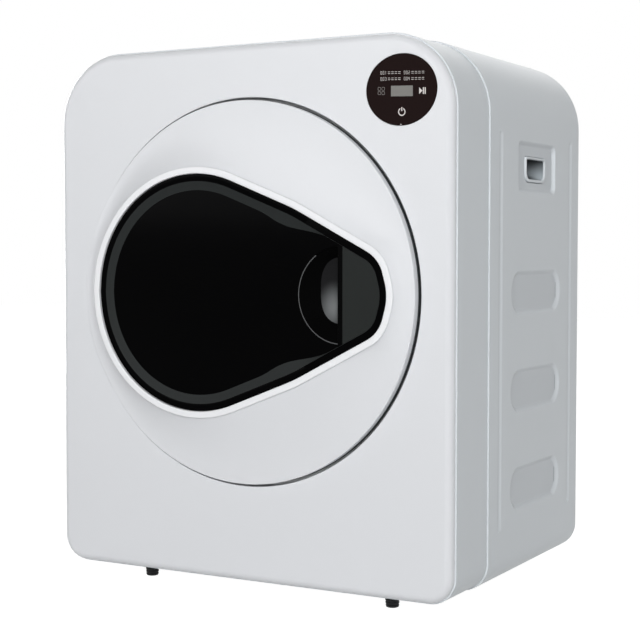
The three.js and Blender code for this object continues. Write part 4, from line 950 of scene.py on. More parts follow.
print_fall = 0.04
piece_of(falling(marks_mesh()), "panel_marks", print_white)
piece_of(falling(menu_mesh()), "menu_key", print_grey)
piece_of(falling(display_mesh()), "display_window", display_grey)


# Door ring: distance from the door's centre to the window's outline, drawn in or out by offsets
door_angles = np.arange(door_steps) / door_steps * whole_turn
door_angles = door_angles - 0.5 * np.sin(door_angles)


support_steps = 1440
least_along = 0.05


def window_reach(angles, round_offset, tip_offset=None):
    tip_offset = round_offset if tip_offset is None else tip_offset
    normals = np.arange(support_steps) / support_steps * whole_turn
    round_support = window_round_x * np.cos(normals) + window_round + round_offset
    aside = np.abs(np.sin(normals))
    side_support = window_side_x * np.cos(normals) + window_side_z * aside + window_side + round_offset
    tip_support = window_tip_x * np.cos(normals) + window_tip_z * aside + window_tip + tip_offset
    nose_support = window_nose_x * np.cos(normals) + window_nose + tip_offset
    support = np.maximum.reduce([round_support, side_support, tip_support, nose_support])
    along = np.cos(angles[:, None] - normals[None, :])
    reach = np.where(along > least_along, support[None, :] / np.maximum(along, least_along), np.inf)
    return reach.min(axis=1)


def ramp(value, start, end):
    return smooth(np.clip((value - start) / (end - start), 0, 1))


# The door's edge stands out more in front of the hinge
from_hinge = np.abs((door_angles % whole_turn) - half_turn)
near_hinge = 1 - ramp(from_hinge, *hinge_bulge_ends)
edge_proud = door_proud + door_tilt * np.cos(door_angles) + hinge_bulge * near_hinge


def polar(reach):
    return np.stack([reach * np.cos(door_angles), reach * np.sin(door_angles)], axis=1)


def window_outline(offset_by, tip_offset=None):
    return polar(window_reach(door_angles, offset_by, tip_offset))


def cove_depth(share):
    """From the rim down to the door's edge, which stands out further on the right."""
    rise = rim_proud - rim_drop - edge_proud
    return -edge_proud - rise * (1 - share) ** cove_power


rim_fillet = 3.4 * mm
rim_foot = 0.5 * mm
rim_turn = math.radians(78)
cove_steps = 36


def ring_mesh():
    seat = window_back + gap
    flat = door_radius - door_edge
    bead_in = window_reach(door_angles, rim_width)
    rows = []

    def add_row(reach, depth):
        outline = polar(np.broadcast_to(reach, door_steps))
        rows.append(np.stack([outline[:, 0], np.broadcast_to(depth, door_steps), outline[:, 1]], axis=1))

    add_row(window_reach(door_angles, 0.0), seat)
    for across, along in easing():
        add_row(window_reach(door_angles, rim_round * along), -rim_proud + rim_round * across)
    for across, along in easing(span=rim_turn):
        add_row(window_reach(door_angles, rim_width - rim_round * across), -rim_proud + rim_round * along)
    for i in range(1, cove_steps + 1):
        share = (i / cove_steps) ** 1.5
        away = (flat - bead_in) * share
        foot = rim_foot * np.clip(1 - away / rim_fillet, 0, 1) ** 2
        add_row(bead_in + away, cove_depth(share) - foot)
    for across, along in easing(2 * edge_steps)[1:]:
        add_row(door_radius - door_edge * across, -edge_proud + door_edge * along)
    add_row(door_radius, door_back)
    add_row(door_radius - door_wall, door_back)
    for share in (1.0, 0.66, 0.33):
        add_row(bead_in + (flat - bead_in) * share, cove_depth(share) + door_wall)
    add_row(window_reach(door_angles, rim_width - rim_round), seat + door_wall)
    add_row(window_reach(door_angles, -window_seat), seat + door_wall)
    add_row(window_reach(door_angles, -window_seat), seat)
    skin = Skin()
    skin.loops(rows, hoop=True)
    return skin.mesh("ring")


def box_mesh(low, high):
    """A plain box for cutting."""
    corners = [(x, y, z) for x in (low[0], high[0]) for y in (low[1], high[1]) for z in (low[2], high[2])]
    faces = [(0, 1, 3, 2), (4, 6, 7, 5), (0, 4, 5, 1), (2, 3, 7, 6), (0, 2, 6, 4), (1, 5, 7, 3)]
    mesh = bpy.data.meshes.new("box")
    mesh.from_pydata(corners, [], faces)
    return mesh


# Hinge, around its pin
pin_low, pin_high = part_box("hinge_pin")
ear_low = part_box("hinge_leaf")[1].z - door_z + gap
ear_high = pin_high.z - door_z - 1.2 * mm
hinge_x = (pin_low.x + pin_high.x) / 2 - door_x
hinge_y = (pin_low.y + pin_high.y) / 2 - face_y
slot_side = 1.2 * mm
slot_front = 5 * mm
slot_over = 2.4 * mm
slot_left = 5 * mm
slot_right = 4.2 * mm
slot_behind = 2 * mm


def with_ear_slots(mesh):
    for side in (-1, 1):
        ends = sorted((side * (ear_low - slot_side), side * (ear_high + slot_over)))
        low = (-door_radius - slot_left, hinge_y - slot_front, ends[0])
        high = (hinge_x + slot_right, door_back + slot_behind, ends[1])
        mesh = cut(mesh, box_mesh(low, high))
    return mesh


def gap_shade_band_mesh():
    """Painted shade: a dark band round the door's side wall, seen in the gap, where the wall lies in shade."""
    proud = 0.3 * mm
    profile = [(door_radius - 0.1 * mm, band_front), (door_radius + proud, band_front + proud),
        (door_radius + proud, door_back - 0.5 * mm), (door_radius - 0.1 * mm, door_back - 0.2 * mm)]
    skin = Skin()
    skin.rings([(circle(radius), depth) for radius, depth in profile], hoop=True)
    return skin.mesh("edge_band")


band_front = 0.2 * mm
piece_of(with_ear_slots(gap_shade_band_mesh()), "door_gap_painted_shade", gap_shade_grey, at_door, "door")
piece_of(
    with_ear_slots(ring_mesh()), "door_front_ring", ring_white_bead_highlight, at_door, "door", ("door_ring",))


# Window: border, sloping band around the large end, and the sunk middle with the scoop's hole
band_full = 9.6 * mm
band_wide = 12.6 * mm
band_widens = (30 * mm, 62 * mm)
band_ends = (66 * mm, 112 * mm)
band_least = 1.0 * mm

border_points = window_outline(-window_border)
widened = band_full + (band_wide - band_full) * ramp(border_points[:, 0], *band_widens)
band_width = widened + (band_least - widened) * ramp(border_points[:, 0], *band_ends)


def sunk_outline(extra=0.0):
    reach = window_reach(door_angles, -window_border)
    inner = np.stack([window_reach(door_angles, -window_border - w) for w in np.linspace(0, band_wide, 14)])
    shares = (band_width + extra) / band_wide * 13
    low = np.clip(np.floor(shares).astype(int), 0, 12)
    part = shares - low
    index = np.arange(door_steps)
    reach = inner[low, index] * (1 - part) + inner[low + 1, index] * part
    return polar(reach)


def half_disc(radius, start, end, name):
    return prism(
        arc(scoop_x, 0.0, radius, quarter_turn, half_turn + quarter_turn, fine_steps), start, end, name=name)


def window_mesh():
    edge = 0.9 * mm
    sections = [(window_outline(-gap), window_back), (window_outline(-gap), window_front + edge)]
    for across, along in easing()[1:]:
        sections.append((window_outline(-gap - edge * along), window_front + edge * across))
    sections.append((border_points, window_front))
    sections.append((sunk_outline(), window_front + window_dish))
    skin = Skin()
    skin.rings(sections)
    skin.cap(*sections[0])
    skin.cap(*sections[-1])
    tool = half_disc(scoop_radius, window_front - 2 * mm, window_back + 2 * mm, "scoop_tool")
    return cut(skin.mesh("window"), tool)


def band_mesh():
    """The lighter band: a thin skin on the slope between the border and the sunk middle."""
    proud = 0.08 * mm
    inner = sunk_outline()
    skin = Skin()
    skin.rings([
        (border_points, window_front - proud),
        (inner, window_front + window_dish - proud),
        (inner, window_front + window_dish + proud),
        (border_points, window_front + proud),
    ], hoop=True)
    return skin.mesh("band")


piece_of(window_mesh(), "door_glass", gloss_black, at_door, "door", ("door_window",), sharp=12)
piece_of(band_mesh(), "window_band", band_grey, at_door, "door")


# Grip plate: flat, right of the scoop, and flush with the border
plate_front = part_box("grip_plate")[0].y - face_y
seam_left = 3.9 * mm
seam_right = 2.4 * mm
seam_round = 0.9 * mm
seam_sunk = 0.5 * mm
plate_inset = 0.35 * mm
scoop_front = window_front + window_dish


def right_of(outline, x):
    """The part of an outline to the right of a line."""
    result = []
    for here, there in zip(outline, np.roll(outline, -1, axis=0)):
        if here[0] >= x:
            result.append(here)
        if (here[0] >= x) != (there[0] >= x):
            result.append(here + (there - here) * (x - here[0]) / (there[0] - here[0]))
    return np.array(result)


def plate_mesh():
    plate = right_of(window_outline(-window_border - plate_inset), scoop_x + seam_right)
    return prism(plate, plate_front, scoop_front - print_sunk, name="plate")


def height_limits(outline, x):
    """Where a vertical line crosses an outline."""
    heights = []
    for here, there in zip(outline, np.roll(outline, -1, axis=0)):
        if (here[0] >= x) != (there[0] >= x):
            heights.append(here[1] + (there[1] - here[1]) * (x - here[0]) / (there[0] - here[0]))
    return min(heights), max(heights)


def seam_mesh():
    """A black bar with a rounded left edge that closes the plate towards the scoop."""
    outline = window_outline(-window_border - plate_inset)
    left, right = scoop_x - seam_left, scoop_x + seam_right - 0.1 * mm
    front, back = plate_front + seam_sunk, scoop_front + 2.5 * mm
    profile = [(left, back), (right, back), (right, front)]
    for across, along in easing():
        profile.append((left + seam_round * across, front + seam_round * along))
    ends = []
    for end in (0, 1):
        row = []
        for x, y in profile:
            row.append((x, y, height_limits(outline, x)[end]))
        ends.append(np.array(row))
    skin = Skin()
    skin.loops(ends)
    for row in ends:
        skin.patch(row, [list(range(len(row)))])
    return skin.mesh("seam")


piece_of(plate_mesh(), "scoop_plate", dark_grey, at_door, "door", ("grip_plate",))


# Scoop: a funnel and a dished floor, drawn on behind the grip plate
scoop_floor_radius = 30 * mm
scoop_floor_tall = 1.16
scoop_floor_lift = 4.4 * mm
scoop_floor_square = 2.7
scoop_crease = 11.5 * mm
scoop_wall = 2 * mm
scoop_reach = 40 * mm
scoop_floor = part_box("scoop_bowl")[1].y - face_y - scoop_wall
scoop_behind = window_back + gap


def scoop_loops(profile, reach):
    """Rings of the cup: right of its middle they start behind the window and end at a flat wall."""
    angles = np.arange(round_steps) / round_steps * whole_turn
    across, up = np.cos(angles), np.sin(angles)
    power = 2 / scoop_floor_square
    squarer = np.sign(across) * np.abs(across) ** power
    taller = np.sign(up) * np.abs(up) ** power * scoop_floor_tall
    rows = []
    for radius, depth in profile:
        share = np.clip((scoop_radius - radius) / (scoop_radius - scoop_floor_radius), 0, 1)
        width = radius * (across + (squarer - across) * share)
        height = radius * (up + (taller - up) * share) + scoop_floor_lift * share
        depths = np.where(across > 1e-6, max(depth, scoop_behind), depth)
        rows.append(np.stack([np.minimum(width, reach), depths, height], axis=1))
    return rows


def scoop_mesh():
    lip = 0.9 * mm
    rim = scoop_radius - 0.15 * mm
    crease_depth = scoop_front + scoop_crease
    inside = [(rim, scoop_front + 0.3 * mm)]
    for i in range(edge_steps + 1):
        angle = i / edge_steps * quarter_turn
        inside.append((rim - 0.4 * mm - lip * (1 - math.cos(angle)), scoop_front + lip * math.sin(angle)))
    inside.append((scoop_floor_radius + 1.2 * mm, crease_depth - 0.5 * mm))
    inside.append((scoop_floor_radius + 0.3 * mm, crease_depth))
    floor = [(scoop_floor_radius * (1 - i / 12), i / 12) for i in range(13)]
    dish = scoop_floor - crease_depth
    dished = [(r, crease_depth + dish * (1 - (1 - share) ** 2)) for r, share in floor]
    outside = [(0.0, scoop_floor + scoop_wall), (scoop_floor_radius, crease_depth + scoop_wall + dish * 0.4),
        (scoop_radius + 1.6 * mm, window_back + 3.2 * mm), (scoop_radius + 3.4 * mm, window_back + 2.2 * mm),
        (scoop_radius + 3.4 * mm, scoop_behind), (rim, scoop_behind)]
    skin = Skin()
    rows = scoop_loops([*inside, *dished], scoop_reach) + scoop_loops(outside, scoop_reach + scoop_wall)
    skin.loops(rows, hoop=True)
    mesh = skin.mesh("scoop")
    mesh.transform(Matrix.Translation((scoop_x, 0, 0)))
    return mesh


def scoop_light_skin_mesh():
    """A thin skin on the dished floor that carries a painted pool of light."""
    proud = 0.12 * mm
    crease_depth = scoop_front + scoop_crease
    dish = scoop_floor - crease_depth
    skin = Skin()
    rows = []
    for i in range(13):
        share = i / 12
        depth = crease_depth + dish * (1 - (1 - share) ** 2) - proud
        rows.append((scoop_floor_radius * (1 - share), depth))
    rows += [(radius, depth + 2 * proud) for radius, depth in reversed(rows)]
    skin.loops(scoop_loops(rows, scoop_reach - 0.2 * mm), hoop=True)
    mesh = skin.mesh("scoop_floor")
    mesh.transform(Matrix.Translation((scoop_x, 0, 0)))
    return mesh


def scoop_highlight_line_mesh():
    """Painted highlight: a fine light line along the left edge of the scoop, where its lip catches light."""
    proud, width = 0.1 * mm, 0.9 * mm
    start, end = math.radians(126), math.radians(269)
    outer = arc(scoop_x, 0, scoop_radius + 0.05 * mm, start, end, fine_steps)
    inner = arc(scoop_x, 0, scoop_radius - width, end, start, fine_steps)
    skin = Skin()
    line = np.concatenate([outer, inner])
    skin.rings([(line, scoop_front - proud), (line, scoop_front + proud)])
    skin.cap(line, scoop_front - proud)
    skin.cap(line, scoop_front + proud)
    return skin.mesh("rim")


piece_of(scoop_mesh(), "scoop_cup", cup_black, at_door, "door", ("scoop_bowl",), sharp=35)
piece_of(seam_mesh(), "scoop_seam", cup_black, at_door, "door")
piece_of(scoop_light_skin_mesh(), "scoop_painted_light_skin", scoop_floor_painted_light, at_door, "door", sharp=60)
piece_of(scoop_highlight_line_mesh(), "scoop_rim", rim_painted_highlight, at_door, "door")


# Screws: pan heads with a cross recess
dome_shares = [(1.0, 0.0), (1.0, 0.35), (0.93, 0.66), (0.8, 0.88), (0.62, 1.0)]
recess_share = 0.4


def screw_heads(places, surface, radius, height, toward):
    arm, half = 0.48 * radius, 0.13 * radius
    cross = np.array([
        (half, -arm), (half, -half), (arm, -half), (arm, half), (half, half), (half, arm),
        (-half, arm), (-half, half), (-arm, half), (-arm, -half), (-half, -half), (-half, -arm)])
    skin = Skin()
    top = surface + toward * height
    for place in places:
        rings = [
            (circle(radius * r, outline_steps) + place, surface + toward * height * h) for r, h in dome_shares]
        skin.rings(rings)
        skin.cap(*rings[0])
        skin.flat(rings[-1][0], [cross + place], top)
        deep = surface + toward * height * recess_share
        skin.rings([(cross + place, top), (cross + place, deep)])
        skin.cap(cross + place, deep)
    return skin.mesh("screws")


def around(radius, degrees, x=0.0, z=0.0):
    """Places on a circle."""
    angles = np.radians(degrees)
    return [np.array((x + radius * math.cos(a), z + radius * math.sin(a))) for a in angles]


# Door liner: a flat ring with a bead, and the bowl that keeps the load in the drum
liner_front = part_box("door_liner")[0].y - face_y
liner_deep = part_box("door_liner")[1].y - face_y
wide_steps = 256
liner_back = liner_front + 2.4 * mm
liner_wall = 2.4 * mm
liner_radius = 200.9 * mm
plug_radius = 150 * mm
plug_end = 144 * mm
plug_round = 10 * mm
plug_turn = math.radians(82)
plug_foot = 2.4 * mm
hinge_notch = 14 * mm
notch_half = ear_high + slot_over


def liner_mesh():
    profile = [(0.0, liner_deep - 1.6 * mm)]
    for radius, drop in ((48, 1.6), (52, 0.4), (56, 0.4), (60, 1.6), (96, 1.6), (100, 0.0), (126, 0.0)):
        profile.append((radius * mm, liner_deep - drop * mm))
    for across, along in easing(8, plug_turn):
        profile.append((plug_end - plug_round * across, liner_deep - plug_round * along))
    for share in (0.33, 0.66):
        radius = plug_end + (plug_radius - plug_end) * share
        profile.append((radius, liner_deep - 9 * mm - (liner_deep - liner_back - 11 * mm) * share))
    for across, along in easing(6):
        profile.append((plug_radius + plug_foot * along + 0.4 * mm, liner_back + plug_foot * across))
    for radius, rise in ((160, 0), (161.5, 0.9), (165.5, 0.9), (167, 0), (199.6, 0)):
        profile.append((radius * mm, liner_back + rise * mm))
    profile.append((liner_radius, liner_back - 1.2 * mm))
    profile.append((liner_radius, liner_front))
    profile.append((plug_radius - liner_wall, liner_front))
    profile.append((plug_end - liner_wall - 0.6 * mm, liner_deep - plug_round))
    profile.append((plug_end - plug_round, liner_deep - liner_wall - 1.6 * mm))
    profile.append((0.0, liner_deep - liner_wall - 1.6 * mm))
    mesh = lathe(profile, steps=wide_steps, closed=False, name="liner")
    low = (-door_radius, liner_front - 2 * mm, -notch_half)
    high = (hinge_x + hinge_notch, liner_back + 3 * mm, notch_half)
    return cut(mesh, box_mesh(low, high))


def seal_mesh():
    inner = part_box("door_seal")[1].x - door_x - 8 * mm
    outer = inner + 8 * mm
    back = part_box("door_seal")[1].y - face_y
    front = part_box("door_seal")[0].y - face_y
    profile = [
        (inner, front), (outer, front), (outer, front + 3 * mm), (outer - 3.4 * mm, front + 4.4 * mm),
        (outer - 2.6 * mm, front + 6.4 * mm), (outer, front + 8.6 * mm), (outer - 1.2 * mm, back - 0.4 * mm),
        (outer - 3.6 * mm, back), (inner + 2.2 * mm, back - 2.4 * mm), (inner + 1.4 * mm, back - 5 * mm),
        (inner, front + 3 * mm)]
    return lathe(profile, steps=wide_steps, round_off=0.7 * mm, name="seal")


piece_of(
    liner_mesh(), "door_inner_liner", light_plastic, at_door, "door",
    ("door_liner",), sharp=38)
piece_of(seal_mesh(), "door_lip_seal", rubber, at_door, "door", ("door_seal",))
liner_screws = screw_heads(
    around(193.4 * mm, (62, 105, 148, 212, 255, 298, 336)), liner_back, 3.4 * mm, 1.5 * mm, 1)
piece_of(liner_screws, "liner_screws", steel, at_door, "door")


# Hinge: the leaf with its barrel, the bracket with two ears, and the headed pin
barrel_radius = 4.2 * mm
hinge_sheet = 2.5 * mm
pin_radius = 2.2 * mm
leaf_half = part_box("hinge_leaf")[1].z - door_z


def extruded(outline, holes, low, high, bevel=0.4 * mm, axis="z"):
    """A body of one outline with holes through it, along an axis, with its ends eased."""
    skin = Skin(axis)
    eased = offset(outline, -bevel)
    skin.rings([(eased, low), (outline, low + bevel), (outline, high - bevel), (eased, high)])
    for end in (low, high):
        skin.flat(eased, holes, end)
    for hole in holes:
        skin.rings([(hole, low), (hole, high)])
    return skin


def barrel_arc(start, end):
    return arc(hinge_x, hinge_y, barrel_radius, start, end, outline_steps)


def bore():
    return circle(pin_radius + 0.3 * mm, outline_steps, hinge_x, hinge_y)


def leaf_mesh():
    back = liner_front - 0.3 * mm
    front = back - hinge_sheet
    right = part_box("hinge_leaf")[1].x - door_x
    plate = np.array([
        (hinge_x + barrel_radius - 0.05 * mm, front - 0.6 * mm), (hinge_x + barrel_radius + 1.2 * mm, front),
        (right, front), (right, back), (hinge_x, back)])
    outline = np.concatenate([plate, barrel_arc(quarter_turn, whole_turn)])
    skin = extruded(outline, [bore()], -leaf_half, leaf_half)
    places = [np.array((hinge_x + x * mm, z * mm)) for x in (20, 34) for z in (-24, 0, 24)]
    heads = screw_heads(places, front + 0.05 * mm, 3 * mm, 1.3 * mm, -1)
    skin.patch([vertex.co for vertex in heads.vertices], [list(face.vertices) for face in heads.polygons])
    return skin.mesh("leaf")


def bracket_mesh():
    base_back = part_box("hinge_bracket")[1].y - face_y
    base_front = base_back - hinge_sheet
    half = ear_high + 6 * mm
    skin = Skin()
    base = rounded_box(hinge_x + 1 * mm, 0.0, 14 * mm, 2 * half, 2.5 * mm, steps=edge_steps)
    eased = offset(base, -0.5 * mm)
    sections = [(base, base_back), (base, base_front + 0.5 * mm), (eased, base_front)]
    skin.rings(sections)
    skin.cap(base, base_back)
    skin.cap(eased, base_front)
    for side in (-1, 1):
        low, high = sorted((side * ear_low, side * ear_high))
        neck = np.array([
            (hinge_x + 4 * mm, hinge_y + 1.6 * mm), (hinge_x + 6 * mm, hinge_y + 4 * mm),
            (hinge_x + 6 * mm, base_front + 0.2 * mm), (hinge_x - 2.5 * mm, base_front + 0.2 * mm),
            (hinge_x - 2.5 * mm, hinge_y + 3.5 * mm)])
        outline = np.concatenate([neck, barrel_arc(math.radians(122), whole_turn)])
        ear = extruded(outline, [bore()], low, high)
        skin.patch(ear.points, ear.faces)
    return skin.mesh("bracket")


def pin_mesh():
    low = pin_low.z - door_z
    high = pin_high.z - door_z
    head = pin_radius + 1.1 * mm
    profile = [
        (0.0, low), (pin_radius - 0.5 * mm, low), (pin_radius, low + 0.8 * mm),
        (pin_radius, ear_high + 0.3 * mm),
        (head, ear_high + 0.3 * mm), (head, ear_high + 0.7 * mm), (head - 0.5 * mm, high), (0.0, high)]
    mesh = lathe(profile, steps=outline_steps, closed=False, axis="z", name="pin")
    mesh.transform(Matrix.Translation((hinge_x, hinge_y, 0)))
    return mesh


piece_of(leaf_mesh(), "hinge_door_leaf", zinc_steel, at_door, "door", ("hinge_leaf",), sharp=40)
piece_of(
    bracket_mesh(), "hinge_ears", zinc_steel, at_door, "root", ("hinge_bracket",), sharp=40)
piece_of(pin_mesh(), "hinge_headed_pin", steel, at_door, "root", ("hinge_pin",))


# Catch: the strike plate on the liner and the magnet in its holder
def catch_half(node):
    low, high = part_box(node)
    middle = (low.x + high.x) / 2 - door_x
    return middle, (high.x - low.x) / 2, (high.z - low.z) / 2, low.y - face_y, high.y - face_y


def strike_mesh():
    x, half_x, half_z, front, back = catch_half("strike_plate")
    plate = rounded_box(x, 0, 2 * half_x, 2 * half_z, 1.6 * mm, steps=edge_steps)
    field = rounded_box(x, 0, 2 * half_x - 4 * mm, 2 * half_z - 4 * mm, 1.2 * mm, steps=edge_steps)
    ease, sunk = 0.3 * mm, 0.5 * mm
    border, floor = offset(plate, -ease), offset(field, -sunk)
    skin = Skin()
    skin.rings([(plate, front), (plate, back - ease), (border, back)])
    skin.cap(plate, front)
    skin.flat(border, [field], back)
    skin.rings([(field, back), (floor, back - sunk)])
    skin.cap(floor, back - sunk)
    return skin.mesh("strike")


def magnet_mesh():
    x, half_x, half_z, front, back = catch_half("catch_magnet")
    holder = rounded_box(x, 0, 2 * half_x, 2 * half_z, 2 * mm, steps=edge_steps)
    eased = offset(holder, -0.6 * mm)
    face = front + 0.3 * mm
    skin = Skin()
    skin.rings([(holder, back), (holder, front + 0.9 * mm), (eased, face)])
    skin.cap(holder, back)
    bars = []
    for side in (-1, 1):
        bar_x = x + side * 2.4 * mm
        bars.append(rounded_box(bar_x, 0, 2 * mm, 2 * half_z - 6 * mm, 0.4 * mm, steps=edge_steps))
    skin.flat(eased, bars, face)
    for bar in bars:
        skin.rings([(bar, face), (bar, front)])
        skin.cap(bar, front)
    return skin.mesh("magnet")


piece_of(strike_mesh(), "catch_strike", zinc_steel, at_door, "door", ("strike_plate",))
piece_of(
    magnet_mesh(), "catch_magnet_holder", dark_plastic, at_door, "root", ("catch_magnet",))


# Front bulkhead: a plate with a bead under the seal and a rounded throat
plunger_low, plunger_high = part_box("switch_plunger")
plunger_x = (plunger_low.x + plunger_high.x) / 2
plunger_z = (plunger_low.z + plunger_high.z) / 2
plunger_radius = (plunger_high.x - plunger_low.x) / 2
bulkhead_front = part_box("front_bulkhead")[0].y - face_y
throat_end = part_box("front_bulkhead")[1].y - face_y
bulkhead_wall = 2.5 * mm
throat_radius = 160 * mm
collar_radius = 162.5 * mm
throat_round = 5 * mm


def bulkhead_mesh():
    outline = cabinet_outline(frame_inset + cabinet_wall + gap)
    hole = circle(plunger_radius + gap, outline_steps, plunger_x, plunger_z)
    bead = [(168, 0.0), (169.4, 0.9), (172.6, 0.9), (174, 0.0)]
    skin = Skin()
    skin.rings([(door_circle(radius * mm), bulkhead_front + sunk * mm) for radius, sunk in bead])
    skin.flat(outline, [door_circle(bead[-1][0] * mm), hole], bulkhead_front)
    lip = [(bead[0][0] * mm, bulkhead_front)]
    for across, along in easing():
        lip.append((throat_radius + throat_round * across, bulkhead_front + throat_round * along))
    behind = bulkhead_front + bulkhead_wall
    lip += [
        (throat_radius, throat_end - 0.6 * mm), (throat_radius + 0.8 * mm, throat_end),
        (collar_radius, throat_end)]
    lip.append((collar_radius, behind))
    skin.rings([(door_circle(radius), depth) for radius, depth in lip])
    skin.flat(outline, [door_circle(collar_radius), hole], behind)
    skin.rings([(outline, bulkhead_front), (outline, behind)])
    skin.rings([(hole, bulkhead_front), (hole, behind)])
    return skin.mesh("bulkhead")


def plunger_mesh():
    front = plunger_low.y - face_y
    back = plunger_high.y - face_y
    tip = plunger_radius
    profile = [
        (0.0, front), (tip * 0.5, front + 0.2 * mm), (tip * 0.86, front + 0.9 * mm), (tip, front + 2 * mm),
        (tip, bulkhead_front - 2.4 * mm), (tip * 0.8, bulkhead_front - 2 * mm),
        (tip * 0.8, bulkhead_front - 1.4 * mm), (tip, bulkhead_front - 1 * mm), (tip, back), (0.0, back)]
    mesh = lathe(profile, steps=2 * outline_steps, closed=False, name="plunger")
    mesh.transform(Matrix.Translation((plunger_x, 0, plunger_z)))
    return mesh


def felt_mesh(node, thick):
    low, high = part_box(node)
    outer = (high.x - low.x) / 2
    front, back = low.y - face_y, high.y - face_y
    profile = [(outer - thick, front), (outer, front), (outer, back), (outer - thick, back)]
    return lathe(profile, steps=wide_steps, round_off=1.4 * mm, name="felt")


piece_of(
    bulkhead_mesh(), "bulkhead_throat", light_plastic,
    replaces=("front_bulkhead",), sharp=40)
piece_of(
    plunger_mesh(), "switch_pin", light_plastic, at_face, "plunger", ("switch_plunger",))
piece_of(felt_mesh("front_felt", 5.4 * mm), "felt_front_ring", felt, at_door, "root", ("front_felt",))
piece_of(felt_mesh("rear_felt", 12 * mm), "felt_rear_ring", felt, at_door, "root", ("rear_felt",))
throat_screws = screw_heads(
    around(198 * mm, (20, 62, 118, 150, 210, 242, 298, 340)), bulkhead_front, 3.6 * mm, 1.6 * mm, -1)
piece_of(throat_screws, "bulkhead_screws", steel, at_door, "root")


# Drum: a smooth shell with beads, a finely perforated rear wall, three lifters and the hub
drum_radius = 225 * mm
drum_wall = 1.2 * mm
drum_front = 61 * mm
drum_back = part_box("drum_shell")[1].y - face_y
drum_corner = 9 * mm
drum_lip = 168.5 * mm
lip_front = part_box("drum_shell")[0].y - face_y
hub_radius = 62 * mm
drum_beads = [0.2, 0.5, 0.8]
bead_shape = ((-1.0, 0.0), (-0.55, 0.75), (0.0, 1.0), (0.55, 0.75), (1.0, 0.0))
bead_rise = 1.0 * mm
bead_half = 3 * mm
hole_radius = 2.3 * mm
hole_rings = 7
hole_first = 92 * mm
hole_pitch = 16 * mm
hole_sides = 10


def drum_profile(inset):
    """From the front lip to the rear wall, on the outside or drawn in by the wall."""
    corner = drum_corner - inset
    front, back = drum_front + drum_corner, drum_back - drum_corner
    middle = drum_radius - drum_corner
    profile = [(drum_lip + drum_wall - inset, lip_front), (drum_lip + drum_wall - inset, drum_front + inset)]
    for i in range(9):
        angle = i / 8 * quarter_turn
        profile.append((middle + corner * math.sin(angle), front - corner * math.cos(angle)))
    for share in drum_beads:
        at = front + (back - front) * share
        for place, rise in bead_shape:
            profile.append((drum_radius - inset - bead_rise * rise, at + bead_half * place))
    for i in range(9):
        angle = i / 8 * quarter_turn
        profile.append((middle + corner * math.cos(angle), back + corner * math.sin(angle)))
    return profile


def drum_mesh():
    skin = Skin()
    outer = drum_profile(0.0)
    inner = drum_profile(drum_wall)
    rings = [(circle(radius, wide_steps), depth) for radius, depth in [*reversed(outer), *inner]]
    skin.rings(rings)
    holes = []
    for ring in range(hole_rings):
        radius = hole_first + ring * hole_pitch
        count = 3 * round(whole_turn * radius / (3 * 17 * mm))
        for i in range(count):
            angle = (i + ring / 2) / count * whole_turn
            holes.append(circle(hole_radius, hole_sides, radius * math.cos(angle), radius * math.sin(angle)))
    hub = circle(hub_radius, 128)
    for profile, depth in ((outer, drum_back), (inner, drum_back - drum_wall)):
        skin.flat(circle(profile[-1][0], wide_steps), [hub, *holes], depth)
    for hole in (hub, *holes):
        skin.rings([(hole, drum_back - drum_wall), (hole, drum_back)])
    return skin.mesh("drum")


lifter_half = 29 * mm
lifter_height = 36 * mm
lifter_top_half = 8 * mm
lifter_low_height = 9 * mm
lifter_slope = 26 * mm
lifter_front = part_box("drum_lifter_1")[0].y - face_y
lifter_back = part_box("drum_lifter_1")[1].y - face_y
drum_inside = drum_radius - drum_wall - 0.4 * mm


def lifter_section(height, depth, turn):
    """A bell with its foot on the drum's wall."""
    across = np.linspace(-1, 1, 41)
    foot = np.sqrt(drum_inside ** 2 - (across * lifter_half) ** 2)
    flank = np.clip((1 - np.abs(across)) / (1 - lifter_top_half / lifter_half), 0, 1)
    crown = height * smooth(flank) * (1 - 0.04 * across ** 2)
    top = np.stack([across * lifter_half, foot - crown], axis=1)
    base = np.stack([across * lifter_half, foot], axis=1)[::-1][1:-1]
    points = np.concatenate([top, base])
    x = points[:, 0] * math.cos(turn) + points[:, 1] * math.sin(turn)
    z = points[:, 1] * math.cos(turn) - points[:, 0] * math.sin(turn)
    return np.stack([x, z], axis=1), depth


def lifter_mesh(turn):
    sections = []
    ease = 2.4 * mm
    for across, along in easing():
        sections.append((lifter_low_height - ease * across, lifter_front + ease * along))
    for i in range(1, 13):
        share = i / 12
        height = lifter_low_height + (lifter_height - lifter_low_height) * smooth(share)
        sections.append((height, lifter_front + ease + (lifter_slope - ease) * share))
    rows = [(height, depth) for height, depth in sections]
    rows += [(height, lifter_front + lifter_back - depth) for height, depth in reversed(sections)]
    skin = Skin()
    loops = [lifter_section(height, depth, turn) for height, depth in rows]
    skin.rings(loops)
    skin.cap(*loops[0])
    skin.cap(*loops[-1])
    return skin.mesh("lifter")


def hub_mesh():
    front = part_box("drum_hub")[0].y - face_y
    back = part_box("drum_hub")[1].y - face_y
    profile = [
        (62, front), (76, front), (76, front + 2.7 * mm), (65, front + 2.7 * mm), (65, back), (62, back)]
    return lathe([(radius * mm, depth) for radius, depth in profile], round_off=0.7 * mm, name="hub")


piece_of(drum_mesh(), "drum_smooth_shell", steel, at_door, "drum", ("drum_shell",), sharp=40)
for i in range(3):
    turn = i / 3 * whole_turn
    replaced = (f"drum_lifter_{i + 1}",)
    piece_of(
        lifter_mesh(turn), f"lifter_{i + 1}", light_plastic, at_door, "drum",
        replaced, sharp=50)
piece_of(hub_mesh(), "drum_rear_hub", aluminium, at_door, "drum", ("drum_hub",))


